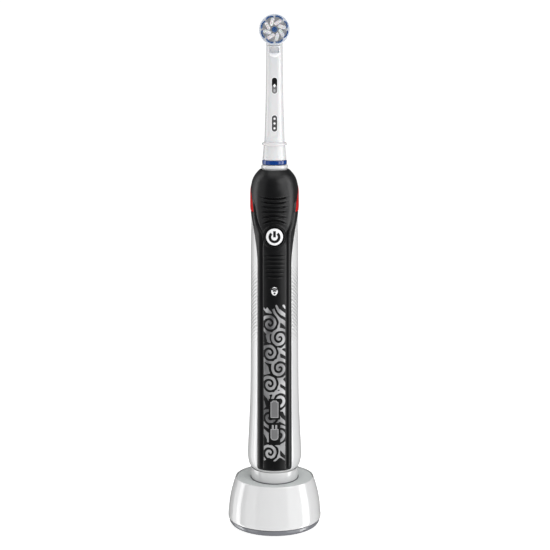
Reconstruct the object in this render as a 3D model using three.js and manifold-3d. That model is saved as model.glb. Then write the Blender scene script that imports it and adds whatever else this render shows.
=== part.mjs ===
// An oscillating electric toothbrush standing on its round induction charger.
// Millimetres, +Z up, the brush faces -Y, and the origin is the centre of the charger's underside.

import * as THREE from 'three';
import { mergeVertices } from 'three/addons/utils/BufferGeometryUtils.js';
import Module from 'manifold-3d';

const wasm = await Module();
wasm.setup();

// ---------------------------------------------------------------- driving dimensions

const GAP = 0.3;                      // clearance between neighbouring pieces
const SINK = 0.2;                     // how far bodies that are joined run into each other
const REACH = 20;                     // cutting tools run this far past the handle's skin
const FRONT_HOLE_END = -5;            // holes in the handle's front stop at this depth
const OVER_HANDLE = 200;              // a height above all of the handle
const SIDES = { large: 28, handle: 24, medium: 16, small: 10, tiny: 8 };

const charger = {
  footHeight: 0.3,                    // the rubber ring stands proud of the base plate by this much
  plateTop: 3.5,                      // top of the base plate, where the shell starts
  shellBottom: 3.8,
  maxRadius: 24.5,
  rimRadius: 20.7,
  rimTop: 26.0,
  rimBevel: 0.25,
  wall: 2.2,
  thickRim: 5,                        // the wall is thicker over this height under the rim
  ledge: { width: 1.6, depth: 2.2 },  // carries the top plate inside the rim
  topPlate: { radius: 19.95, bottom: 24.3, top: 25.55 },
  collar: { halfWidth: 12.55, depthRatio: 1.125, bottom: 25.85, floorTop: 26.7, top: 31.6, wall: 1.1 },
  post: { radius: 5.4, wall: 0.9, bottom: 22.2, top: 39.6, flangeRadius: 8.5, flangeTop: 24.0, bevel: 1 },
  core: { radius: 2.3, bottom: 9.2, roof: 2.2 },   // roof: how far its top stays under the post's top
  coil: { inner: 2.7, bottom: 26, roof: 2.4 },
  board: { inner: 3, outer: 16, bottom: 7.4, top: 8.8 },
  spigot: { inner: 19.4, outer: 21.2, top: 6.2 },      // centres the base plate inside the shell
  foot: { inner: 18.6, outer: 20.6, depth: 1.1 },
  gland: { height: 10.5, radius: 3.2, bore: 1.6 },
  glandFlange: { radius: 4.5, raise: 1, from: 19.2, to: 20.8 },
};

// The base plate's rounded edge, from its underside up to the shell.
const BASE_EDGE = [
  { radius: 21.8, z: 0.3 },
  { radius: 22.9, z: 0.9 },
  { radius: 23.7, z: 2.1 },
  { radius: 24.0, z: 3.5 },
];

// The shell's outer curve: how far each point stands in from the widest radius, at its height.
const SHELL_CURVE = [
  { inset: 0.2, z: 3.8 },
  { inset: 0, z: 5.6 },
  { inset: 0.45, z: 10.8 },
  { inset: 1.6, z: 18.0 },
  { inset: 2.5, z: 21.5 },
  { inset: 3.8, z: 25.6 },
];

const handle = {
  bottom: 27.0,
  wall: 2.2,
  gripThickness: 1.0,
  recess: 1.25,                       // depth of the housing's recess under the rubber grips
  roundedFrom: 150,                   // the section is oval up to here and round at roundTop
  roundTop: 186,
  depthRatio: 1.12,                   // half depth over half width of the oval section
  housingTop: 185.5,
  neckOpening: 7.0,
  neckRoom: 7.7,                      // radius of the cavity just under the neck opening
  footRoom: { top: 30.6, flare: 0.6, flareTop: 33 },   // the cavity around the bottom cap
  stripHalfWidth: 8.9,
  stripBottom: 32.8,
  rearStripBottom: 50,
  lensBottom: 167.2,
  lensTop: 180.6,
};

// The black strips seen from the front: straight sides that spread over the shoulder.
const strip = {
  corner: 1.6,
  waist: 0.15,                        // how much the sides draw in towards the button
  spread: { from: 141, bend: [151, 157], lean: 2.2, to: 163, out: 2.7 },
  full: { z: 166, bend: 165.5, lean: 3, halfWidth: 16 },
};

// The light ring's front edge in the side view: upright at its foot, slanting back towards its top.
const lensEdge = { foot: -6.1, bend: { y: -5.4, z: 175.5 }, top: -0.5, behind: 18 };

const neckSeal = { inner: 7.05, outer: 7.4, lip: 8.7, bottom: 179.5, lipTop: 180.4, top: 185.9 };

// Half widths of the handle, each at its height.
const HANDLE_PROFILE = [
  { z: 27.0, halfWidth: 11.05 },
  { z: 30.2, halfWidth: 11.1 },
  { z: 31.9, halfWidth: 12.1 },
  { z: 33.6, halfWidth: 13.3 },
  { z: 38.3, halfWidth: 14.1 },
  { z: 44.0, halfWidth: 13.9 },
  { z: 51.0, halfWidth: 13.5 },
  { z: 75.0, halfWidth: 12.6 },
  { z: 110.0, halfWidth: 12.35 },
  { z: 150.0, halfWidth: 12.15 },
  { z: 162.5, halfWidth: 11.85 },
  { z: 166.0, halfWidth: 12.05 },
  { z: 170.0, halfWidth: 12.45 },
  { z: 177.0, halfWidth: 12.4 },
  { z: 182.0, halfWidth: 11.65 },
  { z: 184.0, halfWidth: 11.0 },
  { z: 185.8, halfWidth: 10.0 },
  { z: 187.6, halfWidth: 8.4 },
  { z: 188.8, halfWidth: 6.6 },
];

const socket = { radius: 5.8, wall: 0.9, top: 41.2, capRadius: 9.6, capTop: 29.4 };
// The heights at which the handle's cavity follows its skin.
const CAVITY_LEVELS = [38.3, 51, 75, 150, 162.5, 170, 177, 182];

const button = {
  height: 155.4, radius: 4.5, front: -13.7, back: -12.1, stemRadius: 1.5, stemEnd: -11.6,
  hole: 5.5, bezelIn: 4.8, bezelOut: 5.2, bezelFront: -13.35, bezelBack: -11.6,
};
const tactSwitch = { half: 2.2, front: -10.2, plungerRadius: 1, plungerFront: -10.6 };
const statusWindow = { height: 127.6, halfWidth: 2.05, halfHeight: 2.65 };
const batteryWindow = { bottom: 61.5, top: 70.5, halfWidth: 2.0 };
const chargeWindow = { bottom: 48.1, top: 57.8, halfWidth: 2.0 };
const WINDOW_CORNER = 0.5;
const board = { front: -8.9, back: -8.1, halfWidth: 5.2, bottom: 50, top: 160 };
const lamp = { half: 1, halfHeight: 0.8, height: 0.8 };
const LAMP_HEIGHTS = { status_led: statusWindow.height, battery_led: 66, charge_led: 53 };
const chassis = {
  bottom: 44.8, floorTop: 46.3, top: 159, railIn: 8.2, railOut: 9.2, railHalfDepth: 2.5,
  bulkhead: 103.5, bulkheadTop: 105,
};
const battery = { radius: 7.1, y: 0.5, bottom: 49, top: 99 };
const contact = { leaf: 0.4, halfWidth: 3, front: -1.5, back: 2.5, postWidth: 0.6 };
const receiverCoil = { outer: 8.1, bottom: 30.4, top: 40 };
const bottomSeal = { inner: 8.5, outer: 9.5, thickness: 1.1 };
const pressureSpring = { radius: 0.35, coil: 1.7, turns: 4, front: 5.4, back: 10.2, height: 170 };

const pivot = { height: 155, pinRadius: 1.0, hole: 1.15, pinIn: 5, pinOut: 8.9, bossRadius: 2.4 };

const gear = {
  module: 0.35, wheelTeeth: 24, pinionTeeth: 8, backlash: 0.06,
  pressureAngle: THREE.MathUtils.degToRad(22),
  addendum: 0.85, dedendum: 1.2,      // tooth height outside and inside the pitch circle, in modules
  footSpread: 0.02,                   // the tooth's foot is wider than its flanks by this angle each side
  pinionRaise: 0.3,                   // the pinion stands this much above the wheel
  axleRadius: 0.7, crankPinRadius: 0.6, motorShaftRadius: 0.5, boreGap: 0.15,
};
gear.wheelY = 4.6;                                            // crank wheel axis, behind the drive shaft
gear.motorY = gear.wheelY - gear.module * (gear.wheelTeeth + gear.pinionTeeth) / 2;
const SCREW_X = 4.3;                                           // motor screws, each side of the middle
const SHAFT_SWING = THREE.MathUtils.degToRad(20);
gear.crankRadius = gear.wheelY * Math.sin(SHAFT_SWING);       // gives the shaft its swing each way

const drive = {
  motor: { bottom: 112, top: 134.6, radius: 7.7, halfDepth: 6.0, shaftRoom: 1.2, shaftRoomDepth: 3 },
  plateRadius: 7.7, plateFlatAngle: 1.05,     // both frame plates are round with flat front and back
  post: { in: 6.0, out: 7.5, front: -2, back: 3 },
  screw: { headRadius: 1.3, headHeight: 0.8, radius: 0.6, hole: 0.9 },
  motorPlate: { bottom: 135, top: 136.5, pinionHole: 2.4 },
  gearBottom: 138, gearTop: 140.5, crankPinTop: 142.5,
  rocker: { bottom: 142.9, top: 144.4 },
  upperPlate: { bottom: 145.4, top: 147 },
  noseTop: 186, noseRadius: 4.6, noseBore: 2.9,
  lowerBush: { bottom: 147.6, top: 151.6 },
  upperBush: { bottom: 181, top: 185.4 },
  bushGap: 0.1, sealGap: 0.12, pressGap: 0.12,
  motorShaft: { depth: 2.5, above: 0.6 },     // how far it reaches into the motor and above the gears
  collar: { bore: 2.35, skirtBottom: 178, roofBottom: 187.3, top: 190.6 },
  shaftRadius: 2.0, shaftBottom: 142.4, shaftTop: 216, flatFrom: 194, flatY: 1.3,
};

// The neck collar's outer side, from its top edge down to the end of its skirt.
const COLLAR_SIDE = [
  { radius: 6.3, z: 190.6 },
  { radius: 6.45, z: 190.2 },
  { radius: 6.5, z: 186 },
  { radius: 6.4, z: 178 },
];

const head = {
  ringBottom: 190.95, ringTop: 193.2, ringBore: 5.25, ringRadius: 6.22,
  skirtBottom: 193.5, skirtRadius: 6.07,
  waist: { z: 199.8, radius: 5.19 },
  flange: { bottom: 200.3, top: 202.6, radius: 6.2 },
  tubeBottom: { z: 203.3, radius: 5.05 },
  tubeMiddle: { z: 223.6, radius: 4.46 },
  tubeNeck: { z: 240, radius: 4.2 },
  tubeTop: { z: 255, radius: 4.13 },
  spigotRadius: 4.95,
  window: { halfWidth: 2.25, bottom: 245.8, top: 249.1, depth: -1 },
  discRoomBottom: 250.4,
  channelBottom: 240,
  lowerBore: 3.75, lowerBoreTop: 222, upperBore: 2.9,
  discCentre: 258.74,
  disc: { radius: 7.55, back: -2.6, front: -5.0, pinDepth: 1.3, rodDepth: 1.6 },
  cup: { radius: 6.7, front: -2.25, back: 4.3, cavityRadius: 5.3, cavityBack: 2.6 },
  pin: { radius: 0.8, hole: 1, length: 1 },
  sleeve: { radius: 3.4, bottom: 195.2, top: 220 },
  rod: { radius: 0.5, hole: 0.75, holeTop: 230 },
  keyGap: 0.08,                       // around the shaft and its flat inside the sleeve
  tuftFront: -12.6,
  tuftRoot: 0.4,                      // thickness of the ring that joins each group of tufts at its roots
  outerTufts: { inner: 6.0, outer: 7.05, halfTurn: 0.3, rootIn: 6.25, rootOut: 6.85 },
  innerTufts: { rootIn: 3.3, rootOut: 4.1 },
  centreTuft: { radius: 1.5, drop: 0.4 },
  crankOffset: 3.0,                   // how far the tie rod's end stands forward of the shaft's axis
};
const DISC_RATIO = 1.125;             // the disc turns this much for each turn of the shaft
head.slotRadius = head.crankOffset / DISC_RATIO;
const TUFT_COUNT = 8;

// A brush blade of the inner ring, seen from the front.
// Each corner and bend is given by its distance from the middle and its turn.
const BLADE = {
  start: [2.1, -0.25], frontBend: [4.2, -0.3], tip: [5.6, 0.15],
  tipEnd: [5.3, 0.5], backBend: [3.6, 0.25], end: [2.1, 0.3],
};

// The tie rod's path in the side view: straight up the tube, then a bend forward below the disc's slot.
const tieRodBend = {
  straight: [232, 250], lead: 0.1, drop: 1.6, turn: -0.5, turnDrop: 0.25, level: -2, tip: 0.7,
};

const COLOURS = {
  white: { color: 0xf2f3f4, roughness: 0.22, metalness: 0 },
  matteWhite: { color: 0xe8e9ea, roughness: 0.45, metalness: 0 },
  black: { color: 0x1d1e20, roughness: 0.6, metalness: 0 },
  grey: { color: 0xb9bdbc, roughness: 0.5, metalness: 0 },
  darkGrey: { color: 0x4b4e52, roughness: 0.5, metalness: 0 },
  shinyGrey: { color: 0x70737a, roughness: 0.25, metalness: 0.1 },
  red: { color: 0xb00000, roughness: 0.3, metalness: 0 },
  blue: { color: 0x0b4fa8, roughness: 0.4, metalness: 0 },
  steel: { color: 0xc4c7ca, roughness: 0.25, metalness: 1 },
  brass: { color: 0xc9a24a, roughness: 0.3, metalness: 1 },
  copper: { color: 0xb5602d, roughness: 0.35, metalness: 1 },
  ferrite: { color: 0x33302f, roughness: 0.7, metalness: 0.1 },
  boardGreen: { color: 0x1d5f3a, roughness: 0.5, metalness: 0 },
  cell: { color: 0x3f8fae, roughness: 0.45, metalness: 0 },
  amber: { color: 0xf3f0d0, roughness: 0.3, metalness: 0 },
};

// ---------------------------------------------------------------- solids

// Merges shared corners, drops collapsed triangles and turns every face outwards.
function closedBody(geometry) {
  const plain = geometry.index ? geometry.toNonIndexed() : geometry;
  plain.deleteAttribute('normal');
  plain.deleteAttribute('uv');
  const merged = mergeVertices(plain, 1e-4);
  const corners = merged.index.array;
  const position = merged.attributes.position;
  const kept = [];
  let volume = 0;
  const a = new THREE.Vector3();
  const b = new THREE.Vector3();
  const c = new THREE.Vector3();
  for (let i = 0; i < corners.length; i += 3) {
    const [p, q, r] = [corners[i], corners[i + 1], corners[i + 2]];
    if (p === q || q === r || r === p) continue;
    kept.push(p, q, r);
    a.fromBufferAttribute(position, p);
    b.fromBufferAttribute(position, q);
    c.fromBufferAttribute(position, r);
    volume += a.dot(b.cross(c)) / 6;
  }
  if (volume < 0) {
    for (let i = 0; i < kept.length; i += 3) {
      [kept[i + 1], kept[i + 2]] = [kept[i + 2], kept[i + 1]];
    }
  }
  const body = new THREE.BufferGeometry();
  body.setAttribute('position', position.clone());
  body.setIndex(kept);
  return body;
}

function toSolid(geometry) {
  const body = closedBody(geometry);
  return new wasm.Manifold(new wasm.Mesh({
    numProp: 3,
    vertProperties: new Float32Array(body.attributes.position.array),
    triVerts: new Uint32Array(body.index.array),
  }));
}

function toGeometry(manifold) {
  const mesh = manifold.getMesh();
  const geometry = new THREE.BufferGeometry();
  geometry.setAttribute('position', new THREE.BufferAttribute(new Float32Array(mesh.vertProperties), 3));
  geometry.setIndex(new THREE.BufferAttribute(new Uint32Array(mesh.triVerts), 1));
  return geometry;
}

function join(...geometries) {
  return toGeometry(geometries.map(toSolid).reduce((all, next) => all.add(next)));
}

function cut(geometry, ...tools) {
  return toGeometry(tools.map(toSolid).reduce((rest, tool) => rest.subtract(tool), toSolid(geometry)));
}

function common(first, second) {
  return toGeometry(toSolid(first).intersect(toSolid(second)));
}

// ---------------------------------------------------------------- shapes

function box(xMin, xMax, yMin, yMax, zMin, zMax) {
  const geometry = new THREE.BoxGeometry(xMax - xMin, yMax - yMin, zMax - zMin);
  return geometry.translate((xMin + xMax) / 2, (yMin + yMax) / 2, (zMin + zMax) / 2);
}

function rod(radius, zMin, zMax, sides = SIDES.small, x = 0, y = 0) {
  const geometry = new THREE.CylinderGeometry(radius, radius, zMax - zMin, sides);
  return geometry.rotateX(Math.PI / 2).translate(x, y, (zMin + zMax) / 2);
}

function rodAlongY(radius, yMin, yMax, x, z, sides = SIDES.small) {
  const geometry = new THREE.CylinderGeometry(radius, radius, yMax - yMin, sides);
  return geometry.translate(x, (yMin + yMax) / 2, z);
}

function rodAlongX(radius, xMin, xMax, y, z, sides = SIDES.small) {
  const geometry = new THREE.CylinderGeometry(radius, radius, xMax - xMin, sides);
  return geometry.rotateZ(Math.PI / 2).translate((xMin + xMax) / 2, y, z);
}

// Turns a closed outline of [radius, height] points about the vertical axis.
function turned(outline, sides = SIDES.large) {
  const closed = [...outline, outline[0]].map(([radius, z]) => new THREE.Vector2(radius, z));
  return new THREE.LatheGeometry(closed, sides).rotateX(Math.PI / 2);
}

function ring(inner, outer, zMin, zMax, sides = SIDES.medium) {
  return turned([[inner, zMin], [outer, zMin], [outer, zMax], [inner, zMax]], sides);
}

// Extrudes an outline drawn across the front, in x and z, through the depth from yMin to yMax.
function frontPrism(shape, yMin, yMax, curveSegments = 4) {
  const settings = { depth: yMax - yMin, bevelEnabled: false, curveSegments };
  const geometry = new THREE.ExtrudeGeometry(shape, settings);
  return geometry.rotateX(Math.PI / 2).translate(0, yMax, 0);
}

// Extrudes an outline drawn across the side, in y and z, through the width.
function sidePrism(shape, xMin, xMax) {
  const settings = { depth: xMax - xMin, bevelEnabled: false, curveSegments: 4 };
  const geometry = new THREE.ExtrudeGeometry(shape, settings);
  const sideways = new THREE.Matrix4().makeBasis(
    new THREE.Vector3(0, 1, 0), new THREE.Vector3(0, 0, 1), new THREE.Vector3(1, 0, 0));
  return geometry.applyMatrix4(sideways).translate(xMin, 0, 0);
}

function plate(shape, zMin, zMax, curveSegments = 8) {
  const settings = { depth: zMax - zMin, bevelEnabled: false, curveSegments };
  const geometry = new THREE.ExtrudeGeometry(shape, settings);
  return geometry.translate(0, 0, zMin);
}

function ellipse(x, z, halfWidth, halfHeight) {
  return new THREE.Shape().absellipse(x, z, halfWidth, halfHeight, 0, Math.PI * 2);
}

function roundedRectangle(halfWidth, zMin, zMax, corner) {
  const shape = new THREE.Shape();
  shape.moveTo(-halfWidth + corner, zMin);
  shape.lineTo(halfWidth - corner, zMin);
  shape.absarc(halfWidth - corner, zMin + corner, corner, -Math.PI / 2, 0);
  shape.absarc(halfWidth - corner, zMax - corner, corner, 0, Math.PI / 2);
  shape.absarc(-halfWidth + corner, zMax - corner, corner, Math.PI / 2, Math.PI);
  shape.absarc(-halfWidth + corner, zMin + corner, corner, Math.PI, Math.PI * 1.5);
  return shape;
}

// ---------------------------------------------------------------- the scene graph

const toothbrush = new THREE.Group();

function add(name, geometry, look, parent = toothbrush) {
  const mesh = new THREE.Mesh(closedBody(geometry), new THREE.MeshStandardMaterial(look));
  mesh.name = name;
  parent.add(mesh);
  return mesh;
}

// ---------------------------------------------------------------- charger

function chargerShell() {
  const c = charger;
  const stops = SHELL_CURVE.map(({ inset, z }) => new THREE.Vector2(c.maxRadius - inset, z));
  const outer = new THREE.SplineCurve(stops).getPoints(7).map((point) => [point.x, point.y]);
  const thin = outer.filter(([, z]) => z < c.rimTop - c.thickRim);
  const inner = thin.reverse().map(([radius, z]) => [radius - c.wall, z]);
  const plateSeat = c.topPlate.radius + GAP;
  const ledgeIn = plateSeat - c.ledge.width;
  const ledgeTop = c.topPlate.bottom - GAP;
  const ledgeBottom = c.topPlate.bottom - c.ledge.depth;
  const shell = turned([
    ...outer, [c.rimRadius - c.rimBevel, c.rimTop], [plateSeat, c.rimTop], [plateSeat, ledgeTop],
    [ledgeIn, ledgeTop], [ledgeIn, ledgeBottom], ...inner,
  ]);
  const throughWall = [c.maxRadius - 2 * c.wall, c.maxRadius + c.wall];
  return cut(shell, rodAlongY(c.gland.radius + GAP, ...throughWall, 0, c.gland.height));
}

// The floor of the charger, with a spigot up into the shell and a groove for the rubber foot.
function basePlate() {
  const { footHeight, plateTop, spigot, foot } = charger;
  const edge = BASE_EDGE.map(({ radius, z }) => [radius, z]);
  return turned([
    [0, footHeight], [foot.inner - GAP, footHeight], [foot.inner - GAP, foot.depth + GAP],
    [foot.outer + GAP, foot.depth + GAP], [foot.outer + GAP, footHeight], ...edge,
    [spigot.outer, plateTop], [spigot.outer, spigot.top], [spigot.inner, spigot.top],
    [spigot.inner, plateTop], [0, plateTop],
  ]);
}

function cordGland() {
  const { gland, glandFlange, maxRadius } = charger;
  const { from, to } = glandFlange;
  const flange = rodAlongY(glandFlange.radius, from, to, 0, gland.height + glandFlange.raise);
  const stub = rodAlongY(gland.radius, to - GAP, maxRadius - SINK, 0, gland.height);
  const bore = rodAlongY(gland.bore, from - 1, maxRadius + 1, 0, gland.height);
  return cut(join(flange, stub), bore);
}

function buildCharger() {
  const { topPlate, post, core, coil, foot } = charger;
  add('charger_shell', chargerShell(), COLOURS.white);
  const { bottom, top } = topPlate;
  add('top_plate', ring(post.radius + GAP, topPlate.radius, bottom, top, SIDES.large), COLOURS.grey);
  add('seat_collar', seatCollar(), COLOURS.white);
  add('charging_post', chargingPost(), COLOURS.white);
  add('ferrite_core', rod(core.radius, core.bottom, post.top - core.roof), COLOURS.ferrite);
  const coilOuter = post.radius - post.wall - GAP;
  add('primary_coil', ring(coil.inner, coilOuter, coil.bottom, post.top - coil.roof), COLOURS.copper);
  const disc = charger.board;
  add('charger_board', ring(disc.inner, disc.outer, disc.bottom, disc.top), COLOURS.boardGreen);
  add('base_plate', basePlate(), COLOURS.shinyGrey);
  add('foot_ring', ring(foot.inner, foot.outer, 0, foot.depth, SIDES.large), COLOURS.darkGrey);
  add('cord_gland', cordGland(), COLOURS.darkGrey);
}

// The raised oval ring that the handle's foot stands in, with a floor around the post.
function seatCollar() {
  const { collar, post } = charger;
  const outer = collar.halfWidth;
  const inner = outer - collar.wall;
  const hole = post.radius + GAP;
  const bevel = { foot: 0.6, draft: 0.25, rise: 0.4, lip: 0.2, mouth: 0.8, mouthDepth: 1.3 };
  return stretchCollar(turned([
    [hole, collar.bottom], [outer - bevel.foot, collar.bottom],
    [outer - bevel.draft, collar.bottom + bevel.rise], [outer, collar.top - bevel.rise],
    [outer - bevel.lip, collar.top], [inner + bevel.mouth, collar.top],
    [inner, collar.top - bevel.mouthDepth], [inner, collar.floorTop], [hole, collar.floorTop],
  ]));
}

// Only the collar's outer wall is oval; the hole around the post stays round.
function stretchCollar(geometry) {
  const position = geometry.attributes.position;
  const { collar, post } = charger;
  for (let i = 0; i < position.count; i += 1) {
    const radius = Math.hypot(position.getX(i), position.getY(i));
    if (radius > post.radius + 2 * GAP) position.setY(i, position.getY(i) * collar.depthRatio);
  }
  return geometry;
}

function chargingPost() {
  const { post } = charger;
  const inner = post.radius - post.wall;
  return turned([
    [inner, post.bottom], [post.flangeRadius, post.bottom], [post.flangeRadius, post.flangeTop],
    [post.radius, post.flangeTop], [post.radius, post.top - post.bevel],
    [post.radius - post.bevel, post.top], [0, post.top], [0, post.top - post.wall],
    [inner, post.top - post.wall],
  ], SIDES.medium);
}

// ---------------------------------------------------------------- handle surface

function halfWidthAt(z) {
  const last = HANDLE_PROFILE.length - 1;
  const above = HANDLE_PROFILE.findIndex((level) => level.z >= z);
  if (above < 1) return HANDLE_PROFILE[above < 0 ? last : 0].halfWidth;
  const [low, high] = [HANDLE_PROFILE[above - 1], HANDLE_PROFILE[above]];
  return THREE.MathUtils.mapLinear(z, low.z, high.z, low.halfWidth, high.halfWidth);
}

function halfDepthAt(z) {
  const rounding = THREE.MathUtils.smoothstep(z, handle.roundedFrom, handle.roundTop);
  return halfWidthAt(z) * THREE.MathUtils.lerp(handle.depthRatio, 1, rounding);
}

// Gives a round turned body the handle's oval section, inset by a constant amount.
function ovalise(geometry, inset) {
  const position = geometry.attributes.position;
  for (let i = 0; i < position.count; i += 1) {
    const z = position.getZ(i);
    const ratio = (halfDepthAt(z) - inset) / (halfWidthAt(z) - inset);
    position.setY(i, position.getY(i) * ratio);
  }
  return geometry;
}

// The handle's full body, its skin moved inwards by the inset.
function handleBody(inset) {
  const side = HANDLE_PROFILE.map(({ z, halfWidth }) => [halfWidth - inset, z]);
  const [bottom, top] = [side[0][1], side[side.length - 1][1]];
  return ovalise(turned([[0, bottom], ...side, [0, top]], SIDES.handle), inset);
}

// The room inside the housing, open at the foot and the neck.
function handleCavity() {
  const inset = handle.wall;
  const { footRoom, neckRoom, bottom, housingTop } = handle;
  const plugRadius = socket.capRadius + GAP;
  const side = CAVITY_LEVELS.map((z) => [halfWidthAt(z) - inset, z]);
  return ovalise(turned([
    [0, bottom - 1], [plugRadius, bottom - 1], [plugRadius, footRoom.top],
    [plugRadius + footRoom.flare, footRoom.flareTop], ...side, [neckRoom, housingTop],
    [neckRoom, OVER_HANDLE], [0, OVER_HANDLE],
  ], SIDES.handle), inset);
}

// The outline of a black strip seen from the front, grown all round by the margin.
function stripOutline(bottom, top, margin) {
  const { corner, waist, spread, full } = strip;
  const half = handle.stripHalfWidth + margin;
  const low = bottom - margin;
  const [firstBend, secondBend] = spread.bend;
  const side = new THREE.Path();
  side.moveTo(half - corner, low);
  side.absarc(half - corner, low + corner, corner, -Math.PI / 2, 0);
  side.lineTo(half - waist, spread.from);
  const end = [half + spread.out, spread.to - margin];
  side.bezierCurveTo(half, firstBend, half + spread.lean, secondBend, ...end);
  side.quadraticCurveTo(half + full.lean, full.bend - margin, full.halfWidth, full.z - margin);
  side.lineTo(full.halfWidth, top);
  const right = side.getPoints(4);
  const left = right.map(({ x, y }) => new THREE.Vector2(-x, y)).reverse();
  return new THREE.Shape([...right, ...left]);
}

// The side view of the light ring: it wraps the back and reaches round to a slanted front edge.
function lensOutline(margin) {
  const { lensBottom, lensTop } = handle;
  const { foot, bend, top, behind } = lensEdge;
  const shape = new THREE.Shape();
  shape.moveTo(foot - margin, lensBottom - margin);
  shape.quadraticCurveTo(bend.y - margin, bend.z, top - margin, lensTop + margin);
  shape.lineTo(behind, lensTop + margin);
  shape.lineTo(behind, lensBottom - margin);
  return shape;
}

function handleHousing(buttonHole) {
  const frontRoom = frontPrism(stripOutline(handle.stripBottom, OVER_HANDLE, GAP), -REACH, 0);
  const rearRoom = frontPrism(stripOutline(handle.rearStripBottom, OVER_HANDLE, GAP), -0.1, REACH);
  const underGrip = handleBody(handle.recess);
  const neckRoom = box(-REACH, REACH, -REACH, REACH, handle.housingTop, OVER_HANDLE);
  const rooms = [cut(frontRoom, underGrip), cut(rearRoom, underGrip), handleCavity(), neckRoom];
  return cut(handleBody(0), ...rooms, buttonHole);
}

function buildHandleShells() {
  const buttonHole = rodAlongY(button.hole, -REACH, FRONT_HOLE_END, 0, button.height, SIDES.medium);
  add('handle_housing', handleHousing(buttonHole), COLOURS.white);

  const neckHole = rod(handle.neckOpening, handle.lensTop, OVER_HANDLE, SIDES.medium);
  const skin = cut(handleBody(0), handleBody(handle.gripThickness), neckHole);
  const lensRoom = sidePrism(lensOutline(GAP), -REACH, REACH);
  const frontStrip = frontPrism(stripOutline(handle.stripBottom, OVER_HANDLE, 0), -REACH, -GAP / 2);
  const windows = [statusShape(GAP), windowShape(batteryWindow, GAP), windowShape(chargeWindow, GAP)];
  const windowHoles = windows.map((shape) => frontPrism(shape, -REACH, FRONT_HOLE_END, 3));
  add('front_grip', cut(common(skin, frontStrip), lensRoom, buttonHole, ...windowHoles), COLOURS.black);

  const rearOutline = stripOutline(handle.rearStripBottom, handle.lensBottom - GAP, 0);
  add('rear_grip', cut(common(skin, frontPrism(rearOutline, GAP / 2, REACH)), lensRoom), COLOURS.black);
  const shoulderRoom = box(-REACH, REACH, GAP / 2, REACH, handle.lensTop + GAP, OVER_HANDLE);
  add('shoulder_cap', common(skin, shoulderRoom), COLOURS.black);
  add('light_ring', common(skin, sidePrism(lensOutline(0), -REACH, REACH)), COLOURS.red);

  const { inner, outer, lip, bottom, lipTop, top } = neckSeal;
  const sealFoot = [[inner, bottom], [lip, bottom], [lip, lipTop]];
  const sealOutline = [...sealFoot, [outer, lipTop], [outer, top], [inner, top]];
  add('neck_seal', turned(sealOutline, SIDES.medium), COLOURS.darkGrey);
}

function statusShape(margin) {
  const { height, halfWidth, halfHeight } = statusWindow;
  return ellipse(0, height, halfWidth + margin, halfHeight + margin);
}

function windowShape({ bottom, top, halfWidth }, margin) {
  return roundedRectangle(halfWidth + margin, bottom - margin, top + margin, WINDOW_CORNER);
}

// ---------------------------------------------------------------- handle fittings

function buildControls() {
  const skin = cut(handleBody(0), handleBody(handle.gripThickness));
  const windowIn = (shape) => common(skin, frontPrism(shape, -REACH, FRONT_HOLE_END, 3));
  add('status_window', windowIn(statusShape(0)), COLOURS.white);
  add('battery_window', windowIn(windowShape(batteryWindow, 0)), COLOURS.grey);
  add('charge_window', windowIn(windowShape(chargeWindow, 0)), COLOURS.grey);

  const b = button;
  add('button_bezel', cut(
    rodAlongY(b.bezelOut, b.bezelFront, b.bezelBack, 0, b.height, SIDES.medium),
    rodAlongY(b.bezelIn, -REACH, FRONT_HOLE_END, 0, b.height, SIDES.medium)), COLOURS.black);
  add('power_button', join(
    rodAlongY(b.radius, b.front, b.back, 0, b.height, SIDES.medium),
    rodAlongY(b.stemRadius, b.back - SINK, b.stemEnd, 0, b.height, SIDES.tiny)), COLOURS.white);

  const t = tactSwitch;
  add('tact_switch', join(
    box(-t.half, t.half, t.front, board.front - GAP, b.height - t.half, b.height + t.half),
    rodAlongY(t.plungerRadius, t.plungerFront, t.front + SINK, 0, b.height, SIDES.tiny)), COLOURS.darkGrey);

  const { halfWidth, front, back, bottom, top } = board;
  add('main_board', box(-halfWidth, halfWidth, front, back, bottom, top), COLOURS.boardGreen);
  for (const [name, z] of Object.entries(LAMP_HEIGHTS)) {
    const lampBack = front - GAP;
    const [low, high] = [z - lamp.halfHeight, z + lamp.halfHeight];
    add(name, box(-lamp.half, lamp.half, lampBack - lamp.height, lampBack, low, high), COLOURS.amber);
  }
}

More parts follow.
